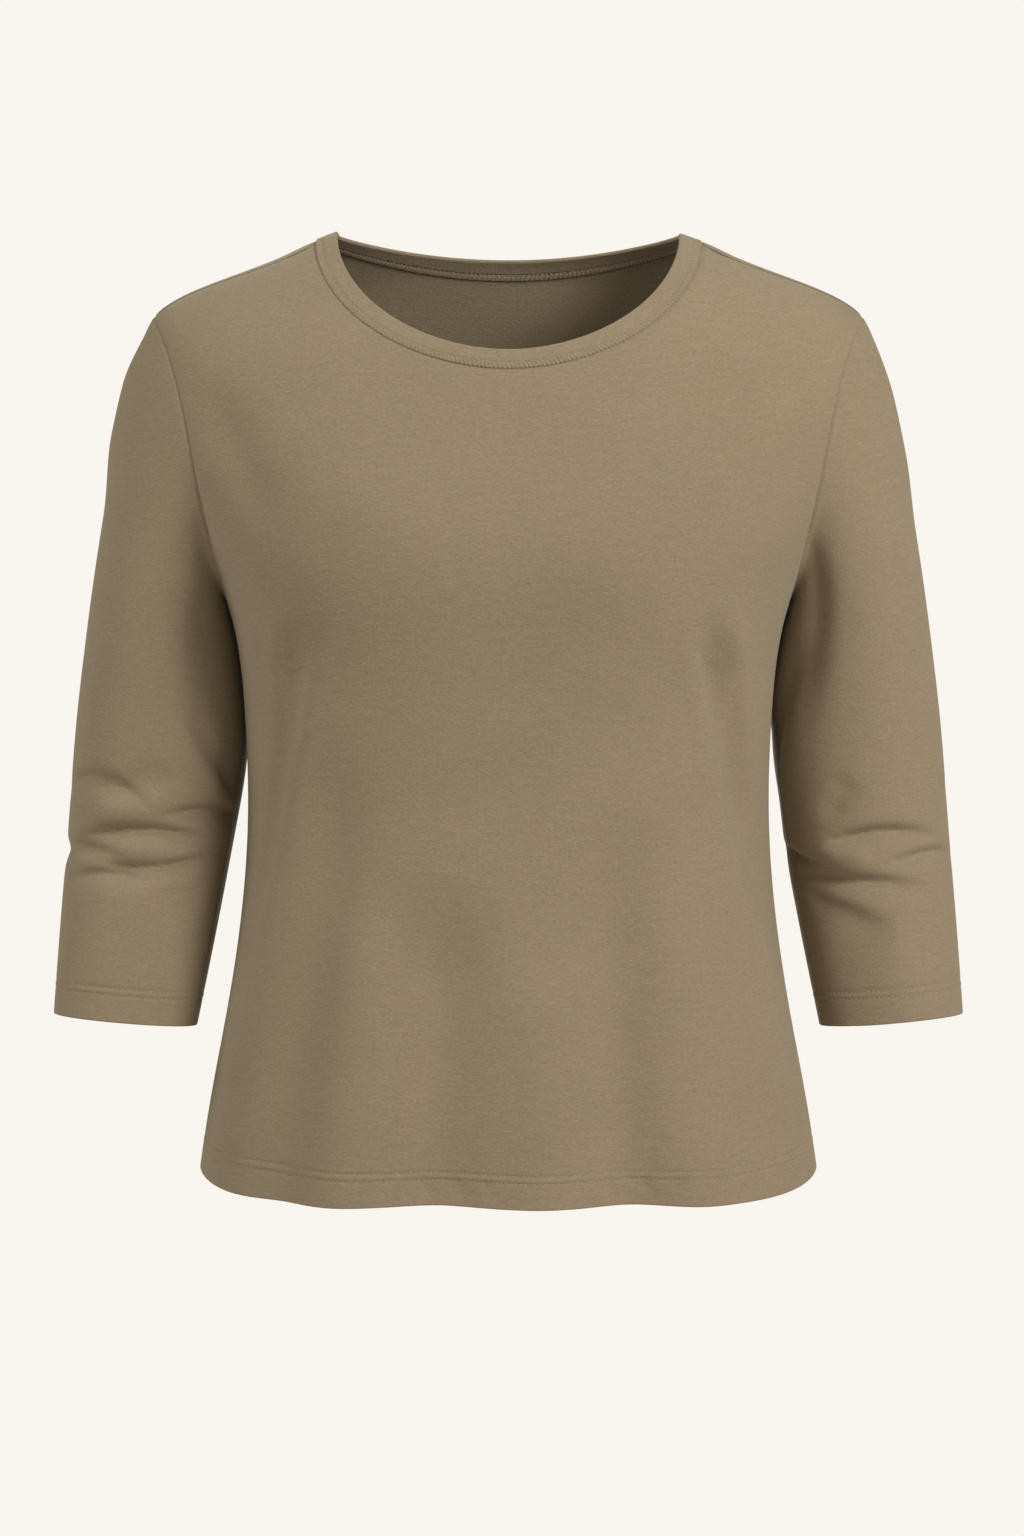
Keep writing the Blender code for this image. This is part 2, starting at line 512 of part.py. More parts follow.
def wall(name, outer, inner, closed):
    """A closed solid between two grids of points. closed joins the last column to the first."""
    rows, columns = outer.shape[:2]
    points = np.concatenate([outer.reshape(-1, 3), inner.reshape(-1, 3)])
    last = columns if closed else columns - 1
    outer_side, inner_side = 0, rows * columns

    def corner(layer, row, place):
        return layer + row * columns + place % columns

    def edge_face(first, second):
        return [corner(outer_side, *first), corner(outer_side, *second),
                corner(inner_side, *second), corner(inner_side, *first)]

    faces = []
    for row in range(rows - 1):
        for place in range(last):
            ring = [(row, place), (row, place + 1), (row + 1, place + 1), (row + 1, place)]
            a, b, c, d = (points[corner(outer_side, *at)] for at in ring)
            if np.linalg.norm(a - c) > np.linalg.norm(b - d):
                ring = ring[1:] + ring[:1]
            for half in (ring[:3], [ring[0], *ring[2:]]):
                faces.append([corner(outer_side, *at) for at in half])
                faces.append([corner(inner_side, *at) for at in reversed(half)])
    for place in range(last):
        faces.append(edge_face((0, place + 1), (0, place)))
        faces.append(edge_face((rows - 1, place), (rows - 1, place + 1)))
    if not closed:
        for row in range(rows - 1):
            faces.append(edge_face((row, 0), (row + 1, 0)))
            faces.append(edge_face((row + 1, last), (row, last)))
    mesh = bpy.data.meshes.new(name)
    mesh.from_pydata(points.tolist(), [], faces)
    mesh.shade_smooth()
    mesh.set_sharp_from_angle(angle=radians(SHARP_EDGE))
    mesh.materials.append(jersey(name))
    piece = bpy.data.objects.new(name, mesh)
    bpy.context.scene.collection.objects.link(piece)
    return piece


def jersey(name):
    """Taupe cotton jersey."""
    material = bpy.data.materials.new(name + "_jersey")
    material.use_nodes = True
    shader = material.node_tree.nodes["Principled BSDF"]
    shader.inputs["Base Color"].default_value = COLOUR
    shader.inputs["Roughness"].default_value = ROUGHNESS
    shader.inputs["Metallic"].default_value = 0.0
    return material


def clear_scene():
    for thing in list(bpy.data.objects):
        bpy.data.objects.remove(thing, do_unlink=True)


clear_scene()
panel("front", -1, FRONT_COLUMNS)
panel("back", 1, BACK_COLUMNS)
sleeve("sleeve_left", 1, LEFT_SLEEVE_FOLDS)
sleeve("sleeve_right", -1, RIGHT_SLEEVE_FOLDS)
neckband()
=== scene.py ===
from collections import namedtuple
from math import pi, radians

import bpy
import numpy as np
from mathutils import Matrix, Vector


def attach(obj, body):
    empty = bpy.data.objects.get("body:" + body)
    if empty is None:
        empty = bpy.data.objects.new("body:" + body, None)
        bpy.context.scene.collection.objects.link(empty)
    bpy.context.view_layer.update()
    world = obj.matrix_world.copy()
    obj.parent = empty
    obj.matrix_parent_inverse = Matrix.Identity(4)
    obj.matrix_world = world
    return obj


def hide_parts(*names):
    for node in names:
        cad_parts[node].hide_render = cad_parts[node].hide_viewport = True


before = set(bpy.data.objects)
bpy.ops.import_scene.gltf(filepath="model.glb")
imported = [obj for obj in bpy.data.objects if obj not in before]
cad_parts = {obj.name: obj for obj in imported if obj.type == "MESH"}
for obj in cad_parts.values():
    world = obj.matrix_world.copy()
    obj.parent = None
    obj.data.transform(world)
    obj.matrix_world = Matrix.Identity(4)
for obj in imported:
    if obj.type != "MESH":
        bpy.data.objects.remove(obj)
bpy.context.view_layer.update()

# ------------------------------------------------------------------------------------------------------
# Front. One cut piece of fine cotton single jersey, from the shoulder seams to the hem, filled out as if
# worn. It is overlocked to the back at the shoulders and sides, and its lower edge is turned up and sewn.
# Sizes are in metres, +Z up, and the front faces -Y. A facing of -1 is the front and 1 is the back.
CLOTH = 0.0008
HEM_LAYER = 0.0007  # the turned-up layer behind a hem
SEAM_GAP = 0.00002  # between two panels
BODY_HEM = 0.0210  # height of the turned-up layer
BODY_NEEDLES = (0.0155, 0.0200)  # heights of the two rows of stitches above the bottom edge
NEEDLE_DIP = 0.00045  # how far the thread pulls the cloth in
NEEDLE_REACH = 0.0007
TUNNEL = 0.00016  # how far the cloth swells between the two rows
SWELL_FALL = 1.6  # how fast that swelling dies away towards the stitches
EDGE_ROUND = 0.0008  # radius of a folded edge
HEM_STEP = 0.0004  # half the height in which the hem's inside steps back to one layer
SIDE_DIP = 0.0007  # how far the cloth rolls in at the side seams
HOLE_DIP = 0.0001  # and at the armholes, the neck and the shoulders
DIP_REACH = 0.0024  # over what width it does

NECK_SIDE_DROP = 0.0045
SHOULDER_TIP_DROP = 0.0515
UNDERARM_DROP = 0.232
SIDE_HEM_DROP = 0.590
SAG_FROM = 0.8
HEM_FALL = 0.25
NECK_HALF = 0.1215
BAND_WIDTH = 0.0140
BAND_NARROWING = 0.0137
BAND_RISE = 0.0045
BAND_CLIMB = 0.0123
hem_sag = {-1: 0.0145}
neck_drop = {-1: 0.0950}
neck_curve = {-1: 1.95}
neck_ease = {-1: 1.0}
armhole_reach = {-1: 0.062}

# One row for each level: how far the cloth stands from the middle to the side, front and back, and how
# square the outline is.
Level = namedtuple("Level", "z side front back square")
TORSO = (
    Level(-0.640, 0.2010, 0.1390, 0.1270, 2.30),
    Level(-0.590, 0.1950, 0.1340, 0.1220, 2.30),
    Level(-0.545, 0.1880, 0.1290, 0.1160, 2.30),
    Level(-0.490, 0.1778, 0.1230, 0.1090, 2.30),
    Level(-0.430, 0.1692, 0.1170, 0.1020, 2.30),
    Level(-0.370, 0.1652, 0.1130, 0.0970, 2.30),
    Level(-0.310, 0.1665, 0.1140, 0.0970, 2.32),
    Level(-0.260, 0.1715, 0.1180, 0.1010, 2.36),
    Level(-0.232, 0.1785, 0.1210, 0.1040, 2.40),
    Level(-0.203, 0.1910, 0.1210, 0.1070, 2.45),
    Level(-0.170, 0.2070, 0.1165, 0.1090, 2.50),
    Level(-0.139, 0.2200, 0.1100, 0.1090, 2.50),
    Level(-0.100, 0.2290, 0.1000, 0.1050, 2.45),
    Level(-0.070, 0.2300, 0.0870, 0.0975, 2.35),
    Level(-0.0515, 0.2230, 0.0740, 0.0895, 2.25),
    Level(-0.0390, 0.2040, 0.0665, 0.0840, 2.20),
    Level(-0.0270, 0.1742, 0.0590, 0.0785, 2.15),
    Level(-0.0155, 0.1450, 0.0500, 0.0720, 2.10),
    Level(-0.0045, 0.1215, 0.0385, 0.0620, 2.10),
    Level(0.0020, 0.1040, 0.0310, 0.0540, 2.10),
)

# Fullness, folds and creases. A place is x and z as seen from the front. A height below zero is a trough,
# hem is the share of the height left at the foot, lean above zero makes the flank on the left of its path
# the steeper one, crisp is 2 for a soft fold and towards 1 for a sharp one, and rise is the share of the
# path over which it comes in.
Fold = namedtuple("Fold", "top middle foot width height hem lean crisp rise", defaults=(0.0, 2.0, 0.35))
PATH_STEPS = 24
FADE_OUT = 0.60
BROAD = 0.05
FOLD_REACH = 3.2  # widths from its path at which a fold has died away
SEAM_CALM = 0.35
torso_folds = {-1: (
    Fold((-0.085, -0.200), (-0.087, -0.208), (-0.090, -0.216), 0.0620, 0.0060, 1.0),
    Fold((0.085, -0.200), (0.087, -0.208), (0.090, -0.216), 0.0620, 0.0060, 1.0),
    Fold((-0.125, -0.238), (-0.146, -0.345), (-0.178, -0.500), 0.0135, -0.0068, 0.0, 0.10, 2.0, 0.25),
    Fold((-0.114, -0.236), (-0.142, -0.398), (-0.184, -0.580), 0.0080, 0.0020, 0.0, -0.10, 1.7, 0.14),
    Fold((-0.141, -0.236), (-0.153, -0.350), (-0.182, -0.560), 0.0060, 0.0024, 0.0, -0.20, 1.7, 0.14),
    Fold((0.115, -0.240), (0.138, -0.340), (0.167, -0.470), 0.0135, -0.0094, 0.0, -0.35, 2.0, 0.25),
    Fold((0.106, -0.238), (0.145, -0.398), (0.188, -0.580), 0.0075, 0.0032, 0.0, 0.20, 1.7, 0.14),
    Fold((0.139, -0.240), (0.152, -0.325), (0.170, -0.440), 0.0062, 0.0030, 0.0, 0.20, 1.7, 0.18),
    Fold((-0.104, -0.310), (-0.116, -0.440), (-0.146, -0.615), 0.0200, -0.0055, 1.0),
    Fold((-0.092, -0.400), (-0.096, -0.500), (-0.104, -0.610), 0.0240, 0.0055, 1.0),
    Fold((-0.036, -0.400), (-0.042, -0.500), (-0.044, -0.610), 0.0260, -0.0085, 1.0),
    Fold((0.022, -0.440), (0.021, -0.520), (0.019, -0.610), 0.0260, 0.0045, 1.0),
    Fold((0.070, -0.350), (0.066, -0.480), (0.076, -0.610), 0.0250, -0.0085, 1.0),
    Fold((0.104, -0.400), (0.110, -0.500), (0.118, -0.610), 0.0220, 0.0040, 1.0),
    Fold((-0.186, -0.095), (-0.166, -0.150), (-0.128, -0.206), 0.0150, -0.0032, 0.0),
    Fold((0.184, -0.110), (0.168, -0.160), (0.138, -0.206), 0.0130, -0.0018, 0.0),
    Fold((-0.052, -0.584), (-0.050, -0.592), (-0.046, -0.600), 0.0034, -0.0009, 0.0),
    Fold((-0.034, -0.585), (-0.030, -0.593), (-0.024, -0.602), 0.0038, -0.0010, 0.0),
    Fold((-0.014, -0.586), (-0.011, -0.594), (-0.007, -0.602), 0.0034, -0.0008, 0.0),
    Fold((0.060, -0.585), (0.063, -0.593), (0.068, -0.601), 0.0038, -0.0010, 0.0),
    Fold((0.082, -0.584), (0.086, -0.592), (0.092, -0.600), 0.0036, -0.0010, 0.0),
    Fold((0.100, -0.584), (0.103, -0.591), (0.107, -0.598), 0.0034, -0.0007, 0.0),
)}

PANEL_ROWS = (116, 92)  # up the side seam above the hem, and round the armhole
FRONT_COLUMNS = (94, 54)  # in half a panel: under the neck, and under the shoulder
LAST_SHARES = (0.985, 0.990, 0.995, 1.0)  # where the last rows or columns before a seam lie
# Rows of a hem: above its folded edge, below the stitches, at each row of them and above the turned-up layer
FOLDED_EDGE_ROWS = (0, 0.0001, 0.0003, 0.0006, 0.0010, 0.0025, 0.0050, 0.0075, 0.0100)
BELOW_NEEDLES = 0.0020
ROWS_AT_NEEDLE = (-1.5, -0.75, 0, 0.75, 1.5)  # in needle reaches
ABOVE_HEM = (0.0012, 0.0030)
ROW_DIP = 0.50  # how much the rows dip near the armhole, so that they come to the underarm from below
ROW_DIP_REACH = 0.35  # how much of half a panel's width dips
NUDGE = 1e-4
SHARP_EDGE = 50  # degrees


def curve_through(places, values):
    """A natural cubic spline through values at rising places."""
    places, values = np.array(places), np.array(values)
    gaps, slopes = np.diff(places), np.diff(values) / np.diff(places)
    system, right = np.eye(len(places)), np.zeros(len(places))
    for i in range(1, len(places) - 1):
        system[i, i - 1 : i + 2] = gaps[i - 1], 2 * (gaps[i - 1] + gaps[i]), gaps[i]
        right[i] = 6 * (slopes[i] - slopes[i - 1])
    bends = np.linalg.solve(system, right)

    def at(place):
        i = np.clip(np.searchsorted(places, place) - 1, 0, len(gaps) - 1)
        after = (place - places[i]) / gaps[i]
        before = 1 - after
        bulge = (before**3 - before) * bends[i] + (after**3 - after) * bends[i + 1]
        return before * values[i] + after * values[i + 1] + bulge * gaps[i] ** 2 / 6

    return at


def column(rows, name, places):
    return curve_through(places, [getattr(row, name) for row in rows])


torso_at = {name: column(TORSO, name, [row.z for row in TORSO]) for name in Level._fields}


def torso_depth(z, facing):
    return torso_at["front" if facing < 0 else "back"](z)


def squared(angle, square):
    """Sine and cosine of an angle, pushed out from a circle to a superellipse."""
    sine, cosine = np.sin(angle), np.cos(angle)
    reach = (np.abs(sine) ** square + np.abs(cosine) ** square) ** (-1 / square)
    return sine * reach, cosine * reach


def angle_at_x(x, z):
    square = torso_at["square"](z)
    across = np.clip(np.abs(x) / torso_at["side"](z), 0, 1)
    return np.sign(x) * np.arctan2(across, (1 - across**square) ** (1 / square))


def angle_at_y(y, z, facing):
    square = torso_at["square"](z)
    along = np.clip(np.abs(y) / torso_depth(z, facing), 0, 1)
    return np.arctan2((1 - along**square) ** (1 / square), along)


def smooth_step(low, high, value):
    share = np.clip((value - low) / (high - low), 0, 1)
    return share * share * (3 - 2 * share)


def fold_height(folds, across, up):
    """How far the folds lift the cloth at each place, whose two coordinates are lengths on the cloth."""
    total = np.zeros(np.shape(across))
    for fold in folds:
        top, middle, foot = (np.array(p, float) for p in fold[:3])
        bend = 2 * middle - (top + foot) / 2
        steps = np.linspace(0, 1, PATH_STEPS + 1)[:, None]
        path = (1 - steps) ** 2 * top + 2 * steps * (1 - steps) * bend + steps**2 * foot
        low, high = path.min(0) - FOLD_REACH * fold.width, path.max(0) + FOLD_REACH * fold.width
        near = (across > low[0]) & (across < high[0]) & (up > low[1]) & (up < high[1])
        if not near.any():
            continue
        x, z = across[near], up[near]
        nearest, share, flank = np.full(x.shape, np.inf), np.zeros(x.shape), np.zeros(x.shape)
        for i in range(PATH_STEPS):
            run = path[i + 1] - path[i]
            along = np.clip(((x - path[i][0]) * run[0] + (z - path[i][1]) * run[1]) / (run @ run), 0, 1)
            off_x, off_z = x - path[i][0] - along * run[0], z - path[i][1] - along * run[1]
            away = np.hypot(off_x, off_z)
            closer = away < nearest
            nearest = np.where(closer, away, nearest)
            share = np.where(closer, (i + along) / PATH_STEPS, share)
            flank = np.where(closer, np.sign(run[0] * off_z - run[1] * off_x), flank)
        fade = smooth_step(0, fold.rise, share) * (1 - (1 - fold.hem) * smooth_step(FADE_OUT, 1, share))
        if fold.width > BROAD:
            fade = 1
        width = fold.width * (1 - fold.lean * flank)
        total[near] += fold.height * fade * np.exp(-((nearest / width) ** fold.crisp))
    return total


def torso_bare(angle, z, facing):
    across, forward = squared(angle, torso_at["square"](z))
    x, y = torso_at["side"](z) * across, facing * torso_depth(z, facing) * forward
    return np.stack([x, y, z + 0 * angle], -1)


def unit(vectors):
    return vectors / np.linalg.norm(vectors, axis=-1, keepdims=True)


def outward(surface, angle, z, facing):
    round_it = surface(angle + NUDGE, z, facing) - surface(angle - NUDGE, z, facing)
    up_it = surface(angle, z + NUDGE, facing) - surface(angle, z - NUDGE, facing)
    return unit(np.cross(round_it, up_it)) * -facing


def torso_lift(angle, z, facing):
    lift = fold_height(torso_folds[facing], torso_bare(angle, z, facing)[..., 0], z)
    return lift * smooth_step(0, SEAM_CALM, np.cos(angle))


def torso_point(angle, z, facing):
    lift = torso_lift(angle, z, facing)[..., None]
    return torso_bare(angle, z, facing) + outward(torso_bare, angle, z, facing) * lift


def quarter_girth(z, facing):
    return pi / 2 * np.sqrt((torso_at["side"](z) ** 2 + torso_depth(z, facing) ** 2) / 2)


def side_angle(z, facing):
    return pi / 2 - SEAM_GAP / 2 / torso_depth(z, facing)


def hem_z(angle, facing):
    z = -SIDE_HEM_DROP - hem_sag[facing] * smooth_step(0, SAG_FROM, np.cos(angle))
    return z - HEM_FALL * torso_lift(angle, z, facing)


def neck_line(turn, along, facing):
    """Angle and z of a line round the neck, along from the seam: turn is 0 at the centre line and a quarter
    turn at the shoulder."""
    share = along / BAND_WIDTH
    across, down = squared(turn, neck_curve[facing])
    side_z = share * BAND_RISE - NECK_SIDE_DROP
    centre_z = share * BAND_CLIMB - neck_drop[facing]
    x = (NECK_HALF - share * BAND_NARROWING) * across
    z = side_z + (centre_z - side_z) * np.abs(down) ** neck_ease[facing]
    return angle_at_x(x, z), z


def armhole(turn, facing):
    """Angle and z of the armhole seam: turn is 0 at the shoulder tip and pi at the underarm."""
    middle = -(SHOULDER_TIP_DROP + UNDERARM_DROP) / 2
    half = (UNDERARM_DROP - SHOULDER_TIP_DROP) / 2
    z = middle + half * np.cos(turn)
    return angle_at_y(np.maximum(armhole_reach[facing] * np.sin(turn), SEAM_GAP / 2), z, facing), z


def flat_place(angle, z, facing):
    return np.stack([angle / (pi / 2) * quarter_girth(z, facing), z + 0 * angle], -1)


def to_the_seam(steps):
    """Shares from 0 to 1, the last ones close together so that the cloth can roll in at the seam."""
    return np.append(np.linspace(0, LAST_SHARES[0], steps - 2), LAST_SHARES[1:])


def hem_rows(needles, hem):
    """Heights of the rows across a hem: close together at the folded edge and at the stitches."""
    rows = [*FOLDED_EDGE_ROWS, needles[0] - BELOW_NEEDLES, sum(needles) / 2]
    for needle in needles:
        rows += [needle + step * NEEDLE_REACH for step in ROWS_AT_NEEDLE]
    return np.array(sorted(rows + [hem + above for above in ABOVE_HEM]))


def panel_places(facing, columns, hand):
    """Angle and z of each point of half a panel, on the +X side if hand is 1 and on the other if it is -1,
    rows going up and columns outwards, and the rows' heights above the hem. The angle is never below 0. The
    grid is spread between the side and armhole, the hem, and the neck and shoulder."""
    low_rows = hem_rows(BODY_NEEDLES, BODY_HEM)
    high_rows = np.linspace(low_rows[-1], SIDE_HEM_DROP - UNDERARM_DROP, PANEL_ROWS[0] + 1)[1:]
    side_up = np.append(low_rows, high_rows)
    side_z = side_up - SIDE_HEM_DROP
    round_hole = to_the_seam(PANEL_ROWS[1])[1:]
    hole_angle, hole_z = armhole(pi * (1 - round_hole), facing)
    edge_z = np.append(side_z, hole_z)
    edge = flat_place(np.append(side_angle(side_z, facing), hole_angle), edge_z, facing)

    share = to_the_seam(sum(columns))
    under_neck, under_shoulder = share[: columns[0] + 1], share[columns[0] + 1 :]
    neck_angle, neck_z = neck_line(under_neck / under_neck[-1] * pi / 2, 0, facing)
    down = (under_shoulder - under_neck[-1]) / (1 - under_neck[-1])
    shoulder_z = -NECK_SIDE_DROP - down * (SHOULDER_TIP_DROP - NECK_SIDE_DROP)
    top_z = np.append(neck_z, shoulder_z)
    top_angle = np.append(neck_angle, np.full(len(shoulder_z), pi / 2))
    top = flat_place(np.minimum(top_angle, side_angle(top_z, facing)), top_z, facing)

    hem_angle = share * side_angle(-SIDE_HEM_DROP, facing)
    hem = flat_place(hem_angle, hem_z(hand * hem_angle, facing), facing)
    climb = side_up / (top[0, 1] - hem[0, 1])
    underarm = climb[-1]
    climb = np.append(climb, underarm + (1 - underarm) * round_hole)
    rows = climb[:, None, None]
    between = (1 - rows) * hem + rows * top
    bow = edge - between[:, -1]
    dip = np.minimum(climb / underarm, (1 - climb) / (1 - underarm))[:, None]
    bow_from = climb[:, None] + ROW_DIP * np.minimum(1 - share, ROW_DIP_REACH) * dip
    bowed = [np.interp(bow_from, climb, bow[:, i]) * share for i in (0, 1)]
    z = between[..., 1] + bowed[1]
    up = np.append(side_up, np.full(len(round_hole), side_up[-1]))
    return (between[..., 0] + bowed[0]) / quarter_girth(z, facing) * pi / 2, z, up


def edge_round(distance, radius):
    """A quarter circle: 0 at an edge and 1 from a radius away."""
    return np.sqrt(1 - (1 - np.clip(distance / radius, 0, 1)) ** 2)


def length_from_end(points, axis):
    """Length on the cloth from each point to the last one along an axis of the grid."""
    steps = np.linalg.norm(np.diff(points, axis=axis), axis=-1)
    summed = np.flip(np.cumsum(np.flip(steps, axis), axis), axis)
    return np.concatenate([summed, np.zeros_like(np.take(summed, [0], axis))], axis)


def hem_shape(up, needles, hem):
    """How far the outer face stands off at each height of a hem, and how thick the cloth is there."""
    pulled = sum(np.exp(-(((up - needle) / NEEDLE_REACH) ** 2)) for needle in needles)
    middle = sum(needles) / 2
    swell = np.exp(-(((up - middle) / (needles[1] - middle) * SWELL_FALL) ** 2))
    thick = CLOTH + HEM_LAYER * (1 - smooth_step(hem - HEM_STEP, hem + HEM_STEP, up))
    return TUNNEL * swell - NEEDLE_DIP * pulled, thick


def two_faces(face, normals, thick, edge):
    """The outer and inner grids of a wall, whose thickness is rounded off to nothing where edge is 0."""
    middle = face - normals * thick / 2
    half = normals * thick / 2 * edge
    return middle + half, middle - half


def wall(name, outer, inner, closed, cloth_places, material):
    """A closed shell between two grids of points, the inner one with every second row and column. closed
    joins the last column to the first. cloth_places says where each point lies on the flat cloth."""
    inner = inner[::2, ::2]
    rows, columns = outer.shape[:2]
    inner_rows, inner_columns = inner.shape[:2]
    points = np.concatenate([outer.reshape(-1, 3), inner.reshape(-1, 3)])
    flat = np.concatenate([cloth_places.reshape(-1, 3), cloth_places[::2, ::2].reshape(-1, 3)])

    def out(row, place):
        return row * columns + place % columns

    def within(row, place):
        return rows * columns + row * inner_columns + place % inner_columns

    last, inner_last = (columns, inner_columns) if closed else (columns - 1, inner_columns - 1)
    faces = []
    for row in range(rows - 1):
        faces += [[out(row, i), out(row, i + 1), out(row + 1, i + 1), out(row + 1, i)] for i in range(last)]
    for row in range(inner_rows - 1):
        faces += [[within(row, i), within(row + 1, i), within(row + 1, i + 1), within(row, i + 1)]
                  for i in range(inner_last)]
    for i in range(inner_last):
        faces.append([out(0, 2 * i + 2), out(0, 2 * i + 1), out(0, 2 * i), within(0, i), within(0, i + 1)])
        faces.append([out(rows - 1, 2 * i), out(rows - 1, 2 * i + 1), out(rows - 1, 2 * i + 2),
                      within(inner_rows - 1, i + 1), within(inner_rows - 1, i)])
    if not closed:
        for i in range(inner_rows - 1):
            faces.append([out(2 * i, 0), out(2 * i + 1, 0), out(2 * i + 2, 0),
                          within(i + 1, 0), within(i, 0)])
            faces.append([out(2 * i + 2, last), out(2 * i + 1, last), out(2 * i, last),
                          within(i, inner_last), within(i + 1, inner_last)])
    mesh = bpy.data.meshes.new(name)
    mesh.from_pydata(points.tolist(), [], faces)
    mesh.attributes.new("cloth_place", "FLOAT_VECTOR", "POINT").data.foreach_set("vector", flat.ravel())
    mesh.shade_smooth()
    mesh.set_sharp_from_angle(angle=radians(SHARP_EDGE))
    mesh.materials.append(material)
    piece = bpy.data.objects.new(name, mesh)
    bpy.context.scene.collection.objects.link(piece)
    return piece


class Shade:
    """A shader socket. Sums with it add their Math nodes, and node() adds any other node."""

    def __init__(self, tree, socket=None):
        self.tree, self.socket = tree, socket

    def node(self, kind, settings, inputs, output=0):
        made = self.tree.nodes.new(kind)
        for name, value in settings.items():
            if name == "stops":
                for element, (place, grey) in zip(made.color_ramp.elements, value):
                    element.position, element.color = place, (grey, grey, grey, 1)
            else:
                setattr(made, name, value)
        for name, value in inputs.items():
            if isinstance(value, Shade):
                self.tree.links.new(value.socket, made.inputs[name])
            else:
                made.inputs[name].default_value = value
        return Shade(self.tree, made.outputs[output])

    def math(self, operation, first, second):
        return self.node("ShaderNodeMath", {"operation": operation}, {0: first, 1: second})

    def __add__(self, other):
        return self.math("ADD", self, other)

    def __radd__(self, other):
        return self.math("ADD", other, self)

    def __sub__(self, other):
        return self.math("SUBTRACT", self, other)

    def __rsub__(self, other):
        return self.math("SUBTRACT", other, self)

    def __mul__(self, other):
        return self.math("MULTIPLY", self, other)

    def __rmul__(self, other):
        return self.math("MULTIPLY", other, self)

    def mix(self, low, high):
        """A colour between low and high by this factor."""
        return self.node("ShaderNodeMix", {"data_type": "RGBA"}, {0: self, 6: low, 7: high}, 2)


KNIT_DARK = (0.205, 0.160, 0.098, 1)
KNIT_LIGHT = (0.275, 0.222, 0.145, 1)
KNIT_RUST = (0.262, 0.190, 0.122, 1)
WALE = 0.00085  # from one column of knit loops to the next
PUCKER_WAY = (2 * pi / 0.0024, 900, 0)  # radians a metre along the band and up it: slanting ripples
PUCKER_FADE = 0.0006  # half the height over which they die away
# The knit's unevenness: how often each kind changes in a metre across the cloth and up it, and how fine it is
Noise = namedtuple("Noise", "across up detail rough")
STREAKS = Noise(250, 880, 2.0, 0.55)
SLUBS = Noise(75, 460, 1.0, 0.4)
GRAIN = Noise(640, 780, 1.0, 0.5)
CLOUDS = Noise(16, 22, 2.0, 0.5)
HUE = Noise(150, 330, 1.0, 0.5)


def jersey(name, dark, light, gathered_below=0):
    """Fine cotton jersey: a soft matt nap, faint level streaks where the yarn is thicker, and fine wales.
    gathered_below is the height on the neckband under which its stitches pucker it."""
    material = bpy.data.materials.new(name)
    material.use_nodes = True
    tree = material.node_tree
    shader = tree.nodes["Principled BSDF"]
    shader.inputs["Roughness"].default_value = 0.92
    shader.inputs["Specular IOR Level"].default_value = 0.25
    shader.inputs["Sheen Weight"].default_value = 0.22
    shader.inputs["Sheen Roughness"].default_value = 0.45
    shader.inputs["Sheen Tint"].default_value = (0.95, 0.88, 0.74, 1)
    place = Shade(tree).node("ShaderNodeAttribute", {"attribute_name": "cloth_place"}, {}, 1)

    def noise(kind):
        scale = (kind.across, kind.up, 1)
        spread = place.node("ShaderNodeVectorMath", {"operation": "MULTIPLY"}, {0: place, 1: scale})
        return place.node("ShaderNodeTexNoise", {"noise_dimensions": "3D"},
                          {"Vector": spread, "Scale": 1.0, "Detail": kind.detail, "Roughness": kind.rough})

    streaks, slubs, grain, clouds, hue = (noise(kind) for kind in (STREAKS, SLUBS, GRAIN, CLOUDS, HUE))
    tone = 0.5 + (streaks - 0.5) * 1.10 + (slubs - 0.5) * 0.55 + (grain - 0.5) * 1.50 + (clouds - 0.5) * 0.45
    rusty = 0.5 + (hue - 0.5) * 1.3
    base = tone.mix(dark, rusty.mix(light, KNIT_RUST))
    tree.links.new(base.socket, shader.inputs["Base Color"])

    wale_turns = (2 * pi / WALE, 0, 0)
    across = place.node("ShaderNodeVectorMath", {"operation": "MULTIPLY"}, {0: place, 1: wale_turns})
    turn = place.node("ShaderNodeSeparateXYZ", {}, {0: across})
    wales = turn.node("ShaderNodeMath", {"operation": "SINE"}, {0: turn})
    height = streaks * 0.6 + grain * 1.5 + slubs * 0.4 + wales * 0.05
    if gathered_below:
        dot = {"operation": "DOT_PRODUCT"}
        along = place.node("ShaderNodeVectorMath", dot, {0: place, 1: PUCKER_WAY}, 1)
        up = place.node("ShaderNodeVectorMath", dot, {0: place, 1: (0, 1, 0)}, 1)
        ripple = along.node("ShaderNodeMath", {"operation": "SINE"}, {0: along + streaks * 1.5 + clouds * 9})
        fade = {"From Min": gathered_below + PUCKER_FADE, "From Max": gathered_below - PUCKER_FADE}
        low = up.node("ShaderNodeMapRange", {"interpolation_type": "SMOOTHSTEP"}, {"Value": up, **fade})
        height = height + ripple * low * 1.6
    bump = height.node("ShaderNodeBump", {}, {"Height": height, "Strength": 0.55, "Distance": 0.00028})
    tree.links.new(bump.socket, shader.inputs["Normal"])
    return material


jersey_cloth = jersey("jersey_cloth", KNIT_DARK, KNIT_LIGHT)


